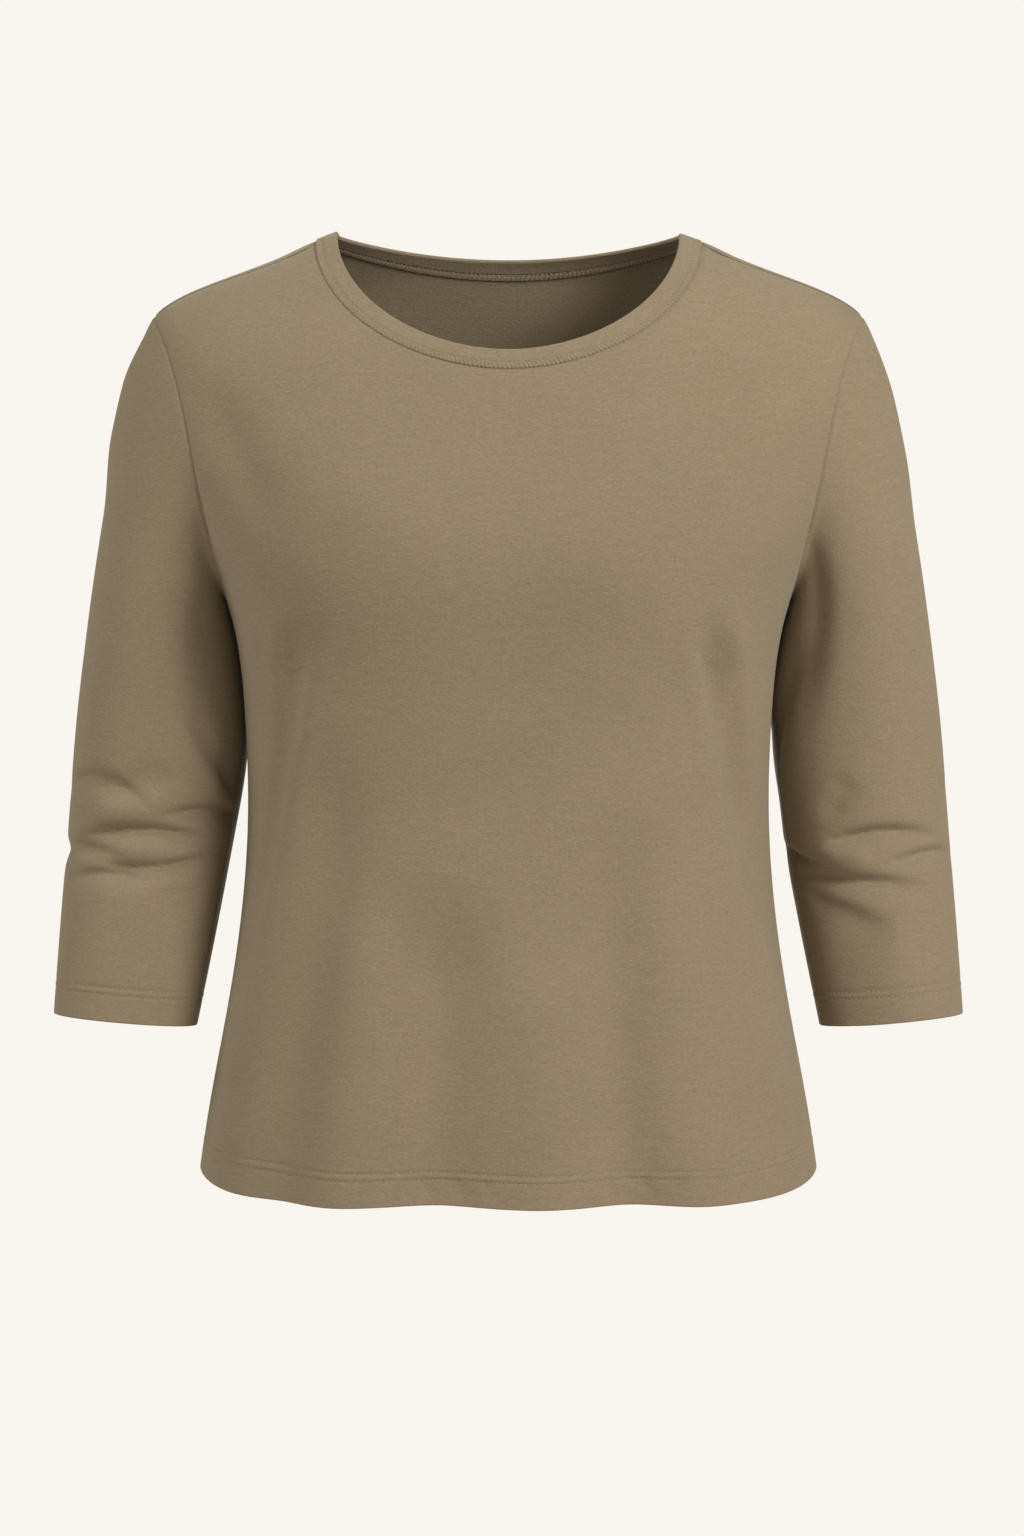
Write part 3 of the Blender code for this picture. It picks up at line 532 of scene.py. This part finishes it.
def panel(name, facing, columns):
    """Makes a panel, and returns it with its grid of outer points, their normals and the rows' heights."""
    minus_angle, minus_z, up = panel_places(facing, columns, -1)
    plus_angle, plus_z, up = panel_places(facing, columns, 1)
    angle = np.concatenate([-minus_angle[:, :0:-1], plus_angle], 1)[:, ::-facing]
    z = np.concatenate([minus_z[:, :0:-1], plus_z], 1)[:, ::-facing]
    face = torso_point(angle, z, facing)
    normals = outward(torso_point, angle, z, facing)
    off, thick = hem_shape(up, BODY_NEEDLES, BODY_HEM)
    half = face.shape[1] // 2
    to_side = length_from_end(face[:, half:], 1)
    to_side = np.concatenate([to_side[:, :0:-1], to_side], 1)
    side_dip = np.where(up < up[-1], SIDE_DIP, HOLE_DIP)[:, None]
    dips = side_dip * (1 - smooth_step(0, DIP_REACH, to_side))
    dips = np.maximum(dips, HOLE_DIP * (1 - smooth_step(0, DIP_REACH, length_from_end(face, 0))))
    face = face + normals * (off[:, None] - dips)[..., None]
    outer, inner = two_faces(face, normals, thick[:, None, None], edge_round(up, EDGE_ROUND)[:, None, None])
    flat = np.concatenate([flat_place(angle, z, facing), np.full(z.shape + (1,), 1.0 + facing)], -1)
    piece = wall(name, outer, inner, False, flat, jersey_cloth)
    return piece, outer, normals, up


front, front_face, front_normals, front_up = panel("jersey_front", -1, FRONT_COLUMNS)
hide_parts("front")
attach(front, "root")

# ------------------------------------------------------------------------------------------------------
# Back. One cut piece of the same jersey, with a shallow neck and no seam down its middle. It is joined to
# the front at the shoulders and sides, and hangs in soft folds from the shoulder blades.
hem_sag[1] = 0.013
neck_drop[1] = 0.0208
neck_curve[1] = 2.0
neck_ease[1] = 2.5
armhole_reach[1] = 0.066
BACK_COLUMNS = (70, 44)
torso_folds[1] = (
    Fold((-0.080, -0.130), (-0.082, -0.150), (-0.084, -0.170), 0.0600, 0.0040, 1.0),
    Fold((0.080, -0.130), (0.082, -0.150), (0.084, -0.170), 0.0600, 0.0040, 1.0),
    Fold((-0.128, -0.250), (-0.140, -0.330), (-0.162, -0.460), 0.0130, -0.0060, 0.0),
    Fold((0.126, -0.245), (0.140, -0.335), (0.164, -0.465), 0.0130, -0.0065, 0.0),
    Fold((-0.108, -0.245), (-0.124, -0.360), (-0.158, -0.540), 0.0100, 0.0028, 0.0, -0.40, 1.6),
    Fold((0.106, -0.240), (0.124, -0.355), (0.160, -0.545), 0.0105, 0.0028, 0.0, 0.40, 1.6),
    Fold((0.000, -0.240), (0.000, -0.340), (0.002, -0.460), 0.0300, -0.0050, 0.2),
    Fold((-0.070, -0.360), (-0.072, -0.480), (-0.078, -0.620), 0.0240, -0.0080, 1.0),
    Fold((-0.016, -0.400), (-0.014, -0.510), (-0.012, -0.620), 0.0250, 0.0050, 1.0),
    Fold((0.044, -0.380), (0.046, -0.490), (0.050, -0.620), 0.0240, -0.0075, 1.0),
    Fold((0.118, -0.390), (0.126, -0.500), (0.138, -0.620), 0.0220, -0.0050, 1.0),
)

back, back_face, back_normals, back_up = panel("jersey_back", 1, BACK_COLUMNS)
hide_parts("back")
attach(back, "root")

# ------------------------------------------------------------------------------------------------------
# Sleeves. Two cut pieces of the jersey, each sewn into its armhole and closed by one seam under the arm.
# They end below the elbow, where the cloth gathers in short level creases, in a turned and sewn cuff.
CUFF_HEM = 0.0235
CUFF_NEEDLES = (0.0165, 0.0208)
SLEEVE_DIP = 0.0011  # how far the sleeve rolls in under the armhole's edge
SLEEVE_DIP_REACH = 0.0038
SLEEVE_TUCK = 0.0006  # how far its edge goes in under the panels
UNDERARM_DIP = 0.0006
UNDERARM_REACH = 0.0016
TWIST = radians(18)  # how far the sleeve's seam has turned to the front by the elbow
# One row for each ring: its outermost and innermost points from the front, its middle and half its depth.
Ring = namedtuple("Ring", "outer_x outer_z inner_x inner_z middle_y half_depth")
SLEEVE = (
    Ring(0.2688, -0.250, 0.1706, -0.264, 0.019, 0.0610),
    Ring(0.2765, -0.314, 0.1666, -0.322, 0.022, 0.0585),
    Ring(0.2805, -0.368, 0.1742, -0.376, 0.021, 0.0550),
    Ring(0.2845, -0.428, 0.1850, -0.436, 0.012, 0.0500),
    Ring(0.2880, -0.494, 0.1975, -0.502, -0.002, 0.0450),
)
SLEEVE_SQUARE = 2.15
SLEEVE_RADIUS = 0.056
# Sleeve head: how strongly the cloth holds the panel's direction, its lift off the panel and the arm's
# direction, at places round it in degrees.
Lead = namedtuple("Lead", "angle leave lift arrive")
HEAD = (
    Lead(0, 0.085, 0.000, 0.200),
    Lead(45, 0.045, 0.004, 0.190),
    Lead(90, 0.026, 0.010, 0.140),
    Lead(135, 0.020, 0.013, 0.080),
    Lead(180, 0.016, 0.006, 0.045),
    Lead(225, 0.020, 0.013, 0.080),
    Lead(270, 0.030, 0.010, 0.140),
    Lead(315, 0.050, 0.004, 0.190),
)
# A place is an angle round the sleeve and z: 0 degrees is outermost, 90 front and 180 against the body.
RIGHT_SLEEVE_FOLDS = (
    Fold((0, -0.060), (0, -0.115), (0, -0.180), 0.0450, 0.0042, 0.0),
    Fold((0, -0.356), (54, -0.345), (104, -0.377), 0.0068, -0.0050, 0.0, 0.35, 1.6),
    Fold((26, -0.386), (88, -0.377), (150, -0.389), 0.0058, -0.0062, 0.0, 0.45, 1.5),
    Fold((-20, -0.394), (34, -0.387), (90, -0.399), 0.0054, -0.0050, 0.0, 0.40, 1.5),
    Fold((56, -0.396), (100, -0.4005), (160, -0.390), 0.0056, -0.0056, 0.0, 0.45, 1.5),
    Fold((26, -0.410), (64, -0.4045), (108, -0.413), 0.0052, -0.0038, 0.0, 0.40, 1.5),
    Fold((90, -0.373), (132, -0.365), (182, -0.371), 0.0054, -0.0048, 0.0, 0.45, 1.5),
    Fold((68, -0.341), (90, -0.346), (118, -0.340), 0.0090, -0.0020, 0.0),
    Fold((126, -0.215), (122, -0.280), (134, -0.335), 0.0160, -0.0060, 0.0),
    Fold((108, -0.298), (136, -0.337), (174, -0.362), 0.0090, -0.0048, 0.0, -0.40, 1.6),
    Fold((40, -0.367), (76, -0.364), (112, -0.362), 0.0080, 0.0024, 0.0),
    Fold((58, -0.392), (88, -0.389), (112, -0.391), 0.0042, 0.0012, 0.0),
    Fold((96, -0.421), (120, -0.418), (148, -0.414), 0.0070, -0.0016, 0.0, 0.30),
    Fold((100, -0.436), (124, -0.428), (150, -0.424), 0.0080, -0.0012, 0.0, 0.30),
    Fold((200, -0.350), (240, -0.342), (285, -0.352), 0.0080, -0.0040, 0.0, 0.30),
    Fold((190, -0.378), (232, -0.384), (276, -0.376), 0.0072, -0.0048, 0.0, 0.35, 1.7),
    Fold((250, -0.398), (290, -0.392), (335, -0.400), 0.0076, -0.0042, 0.0, 0.35, 1.7),
    Fold((215, -0.412), (244, -0.408), (270, -0.416), 0.0086, -0.0028, 0.0, 0.30),
)
LEFT_SLEEVE_FOLDS = (
    Fold((0, -0.060), (0, -0.125), (0, -0.190), 0.0450, 0.0022, 0.0),
    Fold((132, -0.392), (84, -0.378), (24, -0.385), 0.0058, -0.0056, 0.0, -0.45, 1.5),
    Fold((94, -0.405), (46, -0.391), (2, -0.397), 0.0054, -0.0050, 0.0, -0.45, 1.5),
    Fold((174, -0.407), (110, -0.409), (50, -0.411), 0.0064, -0.0064, 0.0, -0.40, 1.6),
    Fold((200, -0.388), (150, -0.396), (104, -0.408), 0.0054, -0.0052, 0.0, -0.40, 1.5),
    Fold((166, -0.416), (122, -0.427), (78, -0.445), 0.0090, -0.0036, 0.0, -0.35, 1.8),
    Fold((98, -0.343), (110, -0.358), (124, -0.376), 0.0080, -0.0020, 0.0),
    Fold((90, -0.415), (68, -0.414), (46, -0.413), 0.0056, -0.0018, 0.0, -0.30),
    Fold((34, -0.350), (22, -0.350), (4, -0.356), 0.0070, -0.0028, 0.0, -0.30),
    Fold((130, -0.180), (125, -0.255), (138, -0.335), 0.0130, -0.0046, 0.0),
    Fold((132, -0.250), (152, -0.300), (166, -0.350), 0.0110, -0.0040, 0.0),
    Fold((182, -0.292), (182, -0.338), (184, -0.400), 0.0180, -0.0030, 0.0),
    Fold((88, -0.395), (112, -0.393), (136, -0.389), 0.0070, 0.0025, 0.0),
    Fold((116, -0.420), (116, -0.455), (114, -0.500), 0.0280, -0.0034, 1.0),
    Fold((196, -0.356), (238, -0.350), (280, -0.358), 0.0080, -0.0042, 0.0, 0.30),
    Fold((204, -0.392), (250, -0.386), (300, -0.394), 0.0075, -0.0048, 0.0, 0.35, 1.7),
    Fold((262, -0.372), (300, -0.368), (340, -0.376), 0.0075, -0.0036, 0.0, 0.35, 1.7),
)
ROUND_SLEEVE = 200
HEAD_ROWS = 80
HEAD_EASE = 1.25
HEAD_CALM = 0.31  # share of the head over which the folds come in below the armhole
ELBOW = (-0.330, -0.428)
ARM_ROWS = (34, 66, 16)  # above the elbow's creases, over them and below them

SLEEVE_Z = [(row.outer_z + row.inner_z) / 2 for row in SLEEVE]
sleeve_at = {name: column(SLEEVE, name, [-z for z in SLEEVE_Z]) for name in Ring._fields}


def arm_point(angle, level):
    """The bare sleeve on the +X side, at an angle round the ring whose middle is at a level."""
    ring = {name: at(-level) for name, at in sleeve_at.items()}
    forward, out = squared(angle, SLEEVE_SQUARE)
    x = (ring["outer_x"] + ring["inner_x"]) / 2 + (ring["outer_x"] - ring["inner_x"]) / 2 * out
    z = (ring["outer_z"] + ring["inner_z"]) / 2 + (ring["outer_z"] - ring["inner_z"]) / 2 * out
    return np.stack([x, ring["middle_y"] - ring["half_depth"] * forward, z], -1)


def armhole_loop(side):
    """Points and normals of the armhole seam, from the shoulder tip by the front to the underarm and on
    round by the back."""
    turns = np.linspace(0, pi, ROUND_SLEEVE // 2 + 1)
    points, normals = [], []
    for facing, turn in ((-1, turns), (1, turns[-2:0:-1])):
        angle, z = armhole(turn, facing)
        points.append(torso_point(side * angle, z, facing))
        normals.append(outward(torso_point, side * angle, z, facing))
    return np.concatenate(points), np.concatenate(normals)


def head_lead(name, angle):
    places = [row.angle for row in HEAD]
    return np.interp(np.degrees(angle), places, [getattr(row, name) for row in HEAD], period=360)[:, None]


def sleeve_grid(side, angle):
    """The sleeve's bare points, rings going down from the armhole, the first ring's normals, the points'
    angles, and each ring's height above the cuff's edge."""
    seam, normals = armhole_loop(side)
    along = np.roll(seam, -1, 0) - np.roll(seam, 1, 0)
    leave = unit(np.cross(normals, along)) * side
    start = seam - leave * SLEEVE_TUCK
    mirror = np.array([side, 1, 1])
    first = arm_point(angle, SLEEVE_Z[0]) * mirror
    arrive = unit(arm_point(angle, SLEEVE_Z[0] - NUDGE) * mirror - first)
    leave = leave * head_lead("leave", angle) + normals * head_lead("lift", angle)
    arrive = arrive * head_lead("arrive", angle)
    t = (np.linspace(0, 1, HEAD_ROWS + 1)[:-1] ** HEAD_EASE)[:, None, None]
    head = (2 * t**3 - 3 * t**2 + 1) * start + (t**3 - 2 * t**2 + t) * leave
    head = head + (3 * t**2 - 2 * t**3) * first + (t**3 - t**2) * arrive

    cuff = SLEEVE_Z[-1]
    low_rows = hem_rows(CUFF_NEEDLES, CUFF_HEM)[::-1]
    stops = (SLEEVE_Z[0], *ELBOW, cuff + low_rows[0])
    runs = [np.linspace(stops[i], stops[i + 1], ARM_ROWS[i] + 1)[:-1] for i in range(3)]
    levels = np.concatenate([*runs, cuff + low_rows])
    turned = angle - TWIST * smooth_step(SLEEVE_Z[0], ELBOW[0], levels)[:, None]
    arm = arm_point(turned, levels[:, None]) * mirror
    angles = np.concatenate([angle + np.zeros((HEAD_ROWS, 1)), turned])
    up = np.append(np.full(HEAD_ROWS, levels[0] - cuff), levels - cuff)
    return np.concatenate([head, arm]), normals, angles, up


def ring_normals(points, side):
    down = np.gradient(points, axis=0)
    round_it = np.roll(points, -1, 1) - np.roll(points, 1, 1)
    return unit(np.cross(round_it, down)) * side


def sleeve_lift(folds, angle, z):
    on_cloth = []
    for fold in folds:
        ends = [(radians(place[0]) * SLEEVE_RADIUS, place[1]) for place in fold[:3]]
        on_cloth.append(Fold(*ends, *fold[3:]))
    return sum(fold_height(on_cloth, (angle + turn) * SLEEVE_RADIUS, z) for turn in (-2 * pi, 0, 2 * pi))


def sleeve(name, side, folds):
    angle = np.linspace(0, 2 * pi, ROUND_SLEEVE + 1)[:-1]
    points, seam_normals, angles, up = sleeve_grid(side, angle)
    z = points[..., 2]
    come_in = smooth_step(0, HEAD_CALM * HEAD_ROWS, np.arange(len(points)))[:, None]
    lift = sleeve_lift(folds, angles, z) * come_in
    off, thick = hem_shape(up, CUFF_NEEDLES, CUFF_HEM)
    from_hole = np.flip(length_from_end(np.flip(points, 0), 0), 0)
    normals = ring_normals(points, side)
    facing_alike = np.clip((normals * seam_normals).sum(-1), 0, 1)
    rolled = 1 - smooth_step(0, SLEEVE_DIP_REACH, from_hole)
    lift = lift + off[:, None] - SLEEVE_DIP * facing_alike * rolled
    from_seam = np.abs(angle - pi) * SLEEVE_RADIUS
    lift = lift - UNDERARM_DIP * (1 - smooth_step(0, UNDERARM_REACH, from_seam))
    normals[0] = seam_normals
    face = points + normals * lift[..., None]
    normals = ring_normals(face, side)
    normals[0] = seam_normals
    outer, inner = two_faces(face, normals, thick[:, None, None], edge_round(up, EDGE_ROUND)[:, None, None])
    grain = unit(points[-1].mean(0) - points[HEAD_ROWS].mean(0))
    flat = np.stack([(angles - pi) * SLEEVE_RADIUS, points @ grain, 0 * z + 4.0 + side], -1)
    if side < 0:
        outer, inner, flat, normals = (grid[:, ::-1] for grid in (outer, inner, flat, normals))
    piece = wall(name, outer, inner, True, flat, jersey_cloth)
    return piece, outer, normals, up


sleeve_left, left_face, left_normals, cuff_up = sleeve("jersey_sleeve_left", 1, LEFT_SLEEVE_FOLDS)
sleeve_right, right_face, right_normals, cuff_up = sleeve("jersey_sleeve_right", -1, RIGHT_SLEEVE_FOLDS)
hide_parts("sleeve_left")
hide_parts("sleeve_right")
for piece in (sleeve_left, sleeve_right):
    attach(piece, "root")

# ------------------------------------------------------------------------------------------------------
# Neckband. A strip of the jersey folded lengthwise over the neck's raw edge. It lies proud of the panels
# inside and out, and one row of stitches goes through it just above its lower edge.
BAND_OVERLAP = 0.0004  # how far it covers the panels
BAND_MIDDLE = -0.0004  # its middle from the panels' outer face
BAND_HALF = 0.0014  # half its thickness
BAND_ROUND = 0.0013
BAND_NEEDLE = 0.0042  # its row of stitches above the neck seam
BAND_ROWS = (30, 10)  # across it, evenly and more closely at each edge
BAND_ROUND_IT = 0.62  # its length, for the knit's pattern
ROUND_NECK = (130, 110)  # places round it at the front and at the back


def neckband_rows():
    """Places across the band, close together at its edges and at the stitches."""
    low, high = -BAND_OVERLAP, BAND_WIDTH
    close = BAND_ROUND * (np.arange(BAND_ROWS[1]) / BAND_ROWS[1]) ** 2
    even = np.linspace(low + BAND_ROUND, high - BAND_ROUND, BAND_ROWS[0])
    needle = BAND_NEEDLE + np.array(ROWS_AT_NEEDLE) * NEEDLE_REACH
    return np.unique(np.round(np.concatenate([low + close, high - close, even, needle]), 6))


def neckband():
    """Makes the band, and returns it with its grids of outer and inner points and their normals."""
    front_turns = np.linspace(-pi / 2, pi / 2, ROUND_NECK[0] + 1)[:-1]
    back_turns = np.linspace(pi / 2, -pi / 2, ROUND_NECK[1] + 1)[:-1]
    rows = neckband_rows()
    rows = rows[: len(rows) // 2 * 2 - 1]
    rows[-1] = BAND_WIDTH
    edge = edge_round(np.minimum(rows + BAND_OVERLAP, BAND_WIDTH - rows), BAND_ROUND)
    pulled = NEEDLE_DIP * np.exp(-(((rows - BAND_NEEDLE) / NEEDLE_REACH) ** 2))
    faces, turned = [], []
    for along in rows:
        points, normals = [], []
        for facing, turn in ((-1, front_turns), (1, back_turns)):
            angle, z = neck_line(turn, along, facing)
            points.append(torso_point(angle, z, facing))
            normals.append(outward(torso_point, angle, z, facing))
        faces.append(np.concatenate(points))
        turned.append(np.concatenate(normals))
    face, normals = np.array(faces), np.array(turned)
    half = (BAND_HALF * edge - pulled)[:, None, None]
    outer, inner = face + normals * (BAND_MIDDLE + half), face + normals * (BAND_MIDDLE - half)
    round_it = np.linspace(0, BAND_ROUND_IT, face.shape[1])[None, :] + 0 * face[..., 0]
    flat = np.stack([round_it, rows[:, None] + 0 * round_it, 0 * round_it + 8], -1)
    band_cloth = jersey("jersey_band", KNIT_DARK, KNIT_LIGHT, BAND_NEEDLE)
    piece = wall("jersey_neckband", outer, inner, True, flat, band_cloth)
    needle = int(np.argmin(np.abs(rows - BAND_NEEDLE)))
    return piece, (outer[needle], inner[needle]), normals[needle]


band, band_needle, band_normals = neckband()
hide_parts("neckband")
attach(band, "root")

# ------------------------------------------------------------------------------------------------------
# Stitches. Polyester thread dyed to match: two rows of twin-needle stitches round the hem and each cuff,
# and one row round the neckband that shows inside and out. Each stitch dives into the cloth at its ends.
# Along each shoulder seam a dark tube half sunk in the cloth paints the seam's shadow.
STITCH = 0.0021
STITCH_PITCH = 0.0029
THREAD = 0.00030  # radius
STITCH_SINK = 0.0005
STITCH_SIDES = 6
STITCH_STEPS = 4
SHOULDER_LINE = (0.168, -0.0238, 3.3)  # the shoulder seam's line: x and y of its middle, and how it bends
SHOULDER_ENDS = (0.1225, 0.2205)  # x at the neckband and at the tip
SHOULDER_LEVELS = np.linspace(-SHOULDER_TIP_DROP - 0.012, -0.002, 600)  # where its line is looked for
SHOULDER_STEPS = 60
# Radius of the dark tube that paints the shoulder seams' shadow.
SHOULDER_SHADE_RADIUS = 0.00045
THREAD_DARK = (0.300, 0.245, 0.165, 1)
THREAD_LIGHT = (0.380, 0.320, 0.225, 1)
# Painted shade: the colours of the tube along each shoulder seam, dark in place of the seam's shadow.
SEAM_SHADE_DARK = (0.090, 0.068, 0.040, 1)
SEAM_SHADE_LIGHT = (0.130, 0.100, 0.062, 1)

thread = jersey("thread", THREAD_DARK, THREAD_LIGHT)
# The second material is a dark jersey that paints the shadow along the shoulder seams.
seam_shade_tube = jersey("seam_shade_tube", SEAM_SHADE_DARK, SEAM_SHADE_LIGHT)


def thread_or_shade_tubes(name, place, lift, at, radius, material):
    """Lengths of thread, or of a dark tube that paints a seam's shadow, each along one row of places, with
    the way off the cloth and the length at each.
    """
    count, last = place.shape[0], place.shape[1] - 1
    run = unit(np.gradient(place, axis=1))
    across = unit(np.cross(run, lift))
    turn = np.linspace(0, 2 * pi, STITCH_SIDES + 1)[:-1]
    ring = across[:, :, None] * np.cos(turn)[:, None] + lift[:, :, None] * np.sin(turn)[:, None]
    points = place[:, :, None] + ring * radius
    each = (last + 1) * STITCH_SIDES
    faces = []
    for first in range(0, count * each, each):
        for i in range(last):
            low, high = first + i * STITCH_SIDES, first + (i + 1) * STITCH_SIDES
            faces += [[low + k, high + k, high + (k + 1) % STITCH_SIDES, low + (k + 1) % STITCH_SIDES]
                      for k in range(STITCH_SIDES)]
        faces.append([first + k for k in range(STITCH_SIDES)])
        faces.append([first + each - 1 - k for k in range(STITCH_SIDES)])
    mesh = bpy.data.meshes.new(name)
    mesh.from_pydata(points.reshape(-1, 3).tolist(), [], faces)
    along = np.repeat(np.stack([at, 0 * at, 0 * at], -1).reshape(-1, 3), STITCH_SIDES, 0)
    mesh.attributes.new("cloth_place", "FLOAT_VECTOR", "POINT").data.foreach_set("vector", along.ravel())
    mesh.shade_smooth()
    mesh.materials.append(material)
    piece = bpy.data.objects.new(name, mesh)
    bpy.context.scene.collection.objects.link(piece)
    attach(piece, "root")
    return piece


def stitches(name, path, normals, closed):
    """A row of separate stitches along a path on the cloth."""
    if closed:
        path, normals = np.concatenate([path, path[:1]]), np.concatenate([normals, normals[:1]])
    lengths = np.append(0, np.cumsum(np.linalg.norm(np.diff(path, axis=0), axis=1)))
    count = int(lengths[-1] / STITCH_PITCH)
    pitch = lengths[-1] / count
    steps = np.linspace(-0.5, 0.5, STITCH_STEPS + 1)
    at = (np.arange(count) + 0.5)[:, None] * pitch + steps * STITCH
    place = np.stack([np.interp(at, lengths, path[:, i]) for i in range(3)], -1)
    lift = unit(np.stack([np.interp(at, lengths, normals[:, i]) for i in range(3)], -1))
    place = place + lift * (THREAD * 0.5 - STITCH_SINK * (2 * steps) ** 4)[:, None]
    return thread_or_shade_tubes(name, place, lift, at, THREAD, thread)


def shoulder_seam_shade(name, hand):
    """The shoulder seam's painted shadow: a dark tube half sunk in the front's cloth, a little below the
    shoulder's top line, whose dark colour stands in for the shade along the seam."""
    x = np.linspace(*SHOULDER_ENDS, SHOULDER_STEPS)
    middle_x, middle_y, bend = SHOULDER_LINE
    line_y = middle_y + bend * (x - middle_x) ** 2
    levels = SHOULDER_LEVELS + 0 * x[:, None]
    y = torso_point(angle_at_x(hand * x[:, None], SHOULDER_LEVELS), levels, -1)[..., 1]
    z = np.array([np.interp(line_y[i], y[i], SHOULDER_LEVELS) for i in range(len(x))])
    angle = angle_at_x(hand * x, z)
    return thread_or_shade_tubes(name, torso_point(angle, z, -1)[None], outward(torso_point, angle, z, -1)[None], x[None],
                   SHOULDER_SHADE_RADIUS, seam_shade_tube)


def twin_rows(name, face, normals, up, needles, closed):
    rows = [int(np.argmin(np.abs(up - needle))) for needle in needles]
    return [stitches(f"{name}_{i}", face[row], normals[row], closed) for i, row in enumerate(rows, 1)]


front_seam = twin_rows("stitches_hem_front", front_face, front_normals, front_up, BODY_NEEDLES, False)
# Painted shadow lines along the shoulder seams, made as dark tubes half sunk in the front.
front_seam += [shoulder_seam_shade("seam_shade_shoulder_right", -1), shoulder_seam_shade("seam_shade_shoulder_left", 1)]
back_seam = twin_rows("stitches_hem_back", back_face, back_normals, back_up, BODY_NEEDLES, False)
left_seam = twin_rows("stitches_cuff_left", left_face, left_normals, cuff_up, CUFF_NEEDLES, True)
right_seam = twin_rows("stitches_cuff_right", right_face, right_normals, cuff_up, CUFF_NEEDLES, True)
band_seam = [stitches("stitches_neck_outside", band_needle[0], band_normals, True),
             stitches("stitches_neck_inside", band_needle[1], -band_normals, True)]

# ------------------------------------------------------------------------------------------------------
# Studio: a plain pale floor well below the top, an even pale surround, and soft lights.
FLOOR_Z = -1.20
FLOOR_RADIUS = 1.8
PAPER = (0.955, 0.922, 0.864, 1)
FLOOR_PAPER = (0.800, 0.772, 0.724, 1)
SURROUND_RADIUS = 14
SKY = (1.0, 0.92, 0.77, 1)
SKY_STRENGTH = 0.26


def paper(name, colour, glow):
    material = bpy.data.materials.new(name)
    material.use_nodes = True
    shader = material.node_tree.nodes["Principled BSDF"]
    shader.inputs["Base Color"].default_value = colour
    shader.inputs["Roughness"].default_value = 1.0
    shader.inputs["Specular IOR Level"].default_value = 0.0
    shader.inputs["Emission Color"].default_value = PAPER
    shader.inputs["Emission Strength"].default_value = glow
    return material


bpy.ops.mesh.primitive_circle_add(vertices=96, radius=FLOOR_RADIUS, fill_type="NGON",
                                  location=(0, 0, FLOOR_Z))
floor = bpy.context.object
floor.name = "floor"
floor.data.materials.append(paper("floor_paper", FLOOR_PAPER, 0.0))

bpy.ops.mesh.primitive_uv_sphere_add(segments=48, ring_count=24, radius=SURROUND_RADIUS, location=(0, 0, 0))
surround = bpy.context.object
surround.name = "surround"
surround.data.materials.append(paper("surround_paper", (0, 0, 0, 1), 1.0))
surround.visible_diffuse = surround.visible_glossy = surround.visible_transmission = False
surround.visible_volume_scatter = surround.visible_shadow = False

world = bpy.data.worlds.new("studio")
bpy.context.scene.world = world
world.use_nodes = True
sky = world.node_tree.nodes["Background"]
sky.inputs["Color"].default_value = SKY
sky.inputs["Strength"].default_value = SKY_STRENGTH

Light = namedtuple("Light", "name place aim size watts")
LIGHTS = (
    Light("key", (1.62, -1.62, 1.01), (0, 0, -0.30), 1.2, 68),
    Light("side", (-2.22, -0.59, 1.31), (0, 0, -0.30), 1.2, 32),
    Light("fill", (-1.95, -1.95, 0.19), (0, 0, -0.30), 1.2, 10),
    Light("back", (0, 2.60, -0.10), (0, 0, -0.30), 1.6, 22),
)


def aim(thing, place, at):
    thing.location = place
    thing.rotation_euler = (Vector(at) - Vector(place)).to_track_quat("-Z", "Y").to_euler()
    bpy.context.scene.collection.objects.link(thing)


for light in LIGHTS:
    lamp = bpy.data.lights.new(light.name, "AREA")
    lamp.shape = "DISK"
    lamp.size = light.size
    lamp.energy = light.watts
    aim(bpy.data.objects.new(light.name, lamp), light.place, light.aim)

# The camera stands level, straight in front of the top's middle.
CAMERA = (0.0023, -2.6, -0.339)
LENS = 96  # mm
SENSOR_WIDTH = 36
camera = bpy.data.cameras.new("camera")
camera.lens = LENS
camera.sensor_width = SENSOR_WIDTH
eye = bpy.data.objects.new("camera", camera)
aim(eye, CAMERA, (CAMERA[0], 0, CAMERA[2]))
bpy.context.scene.camera = eye
bpy.context.scene.view_settings.view_transform = "Standard"
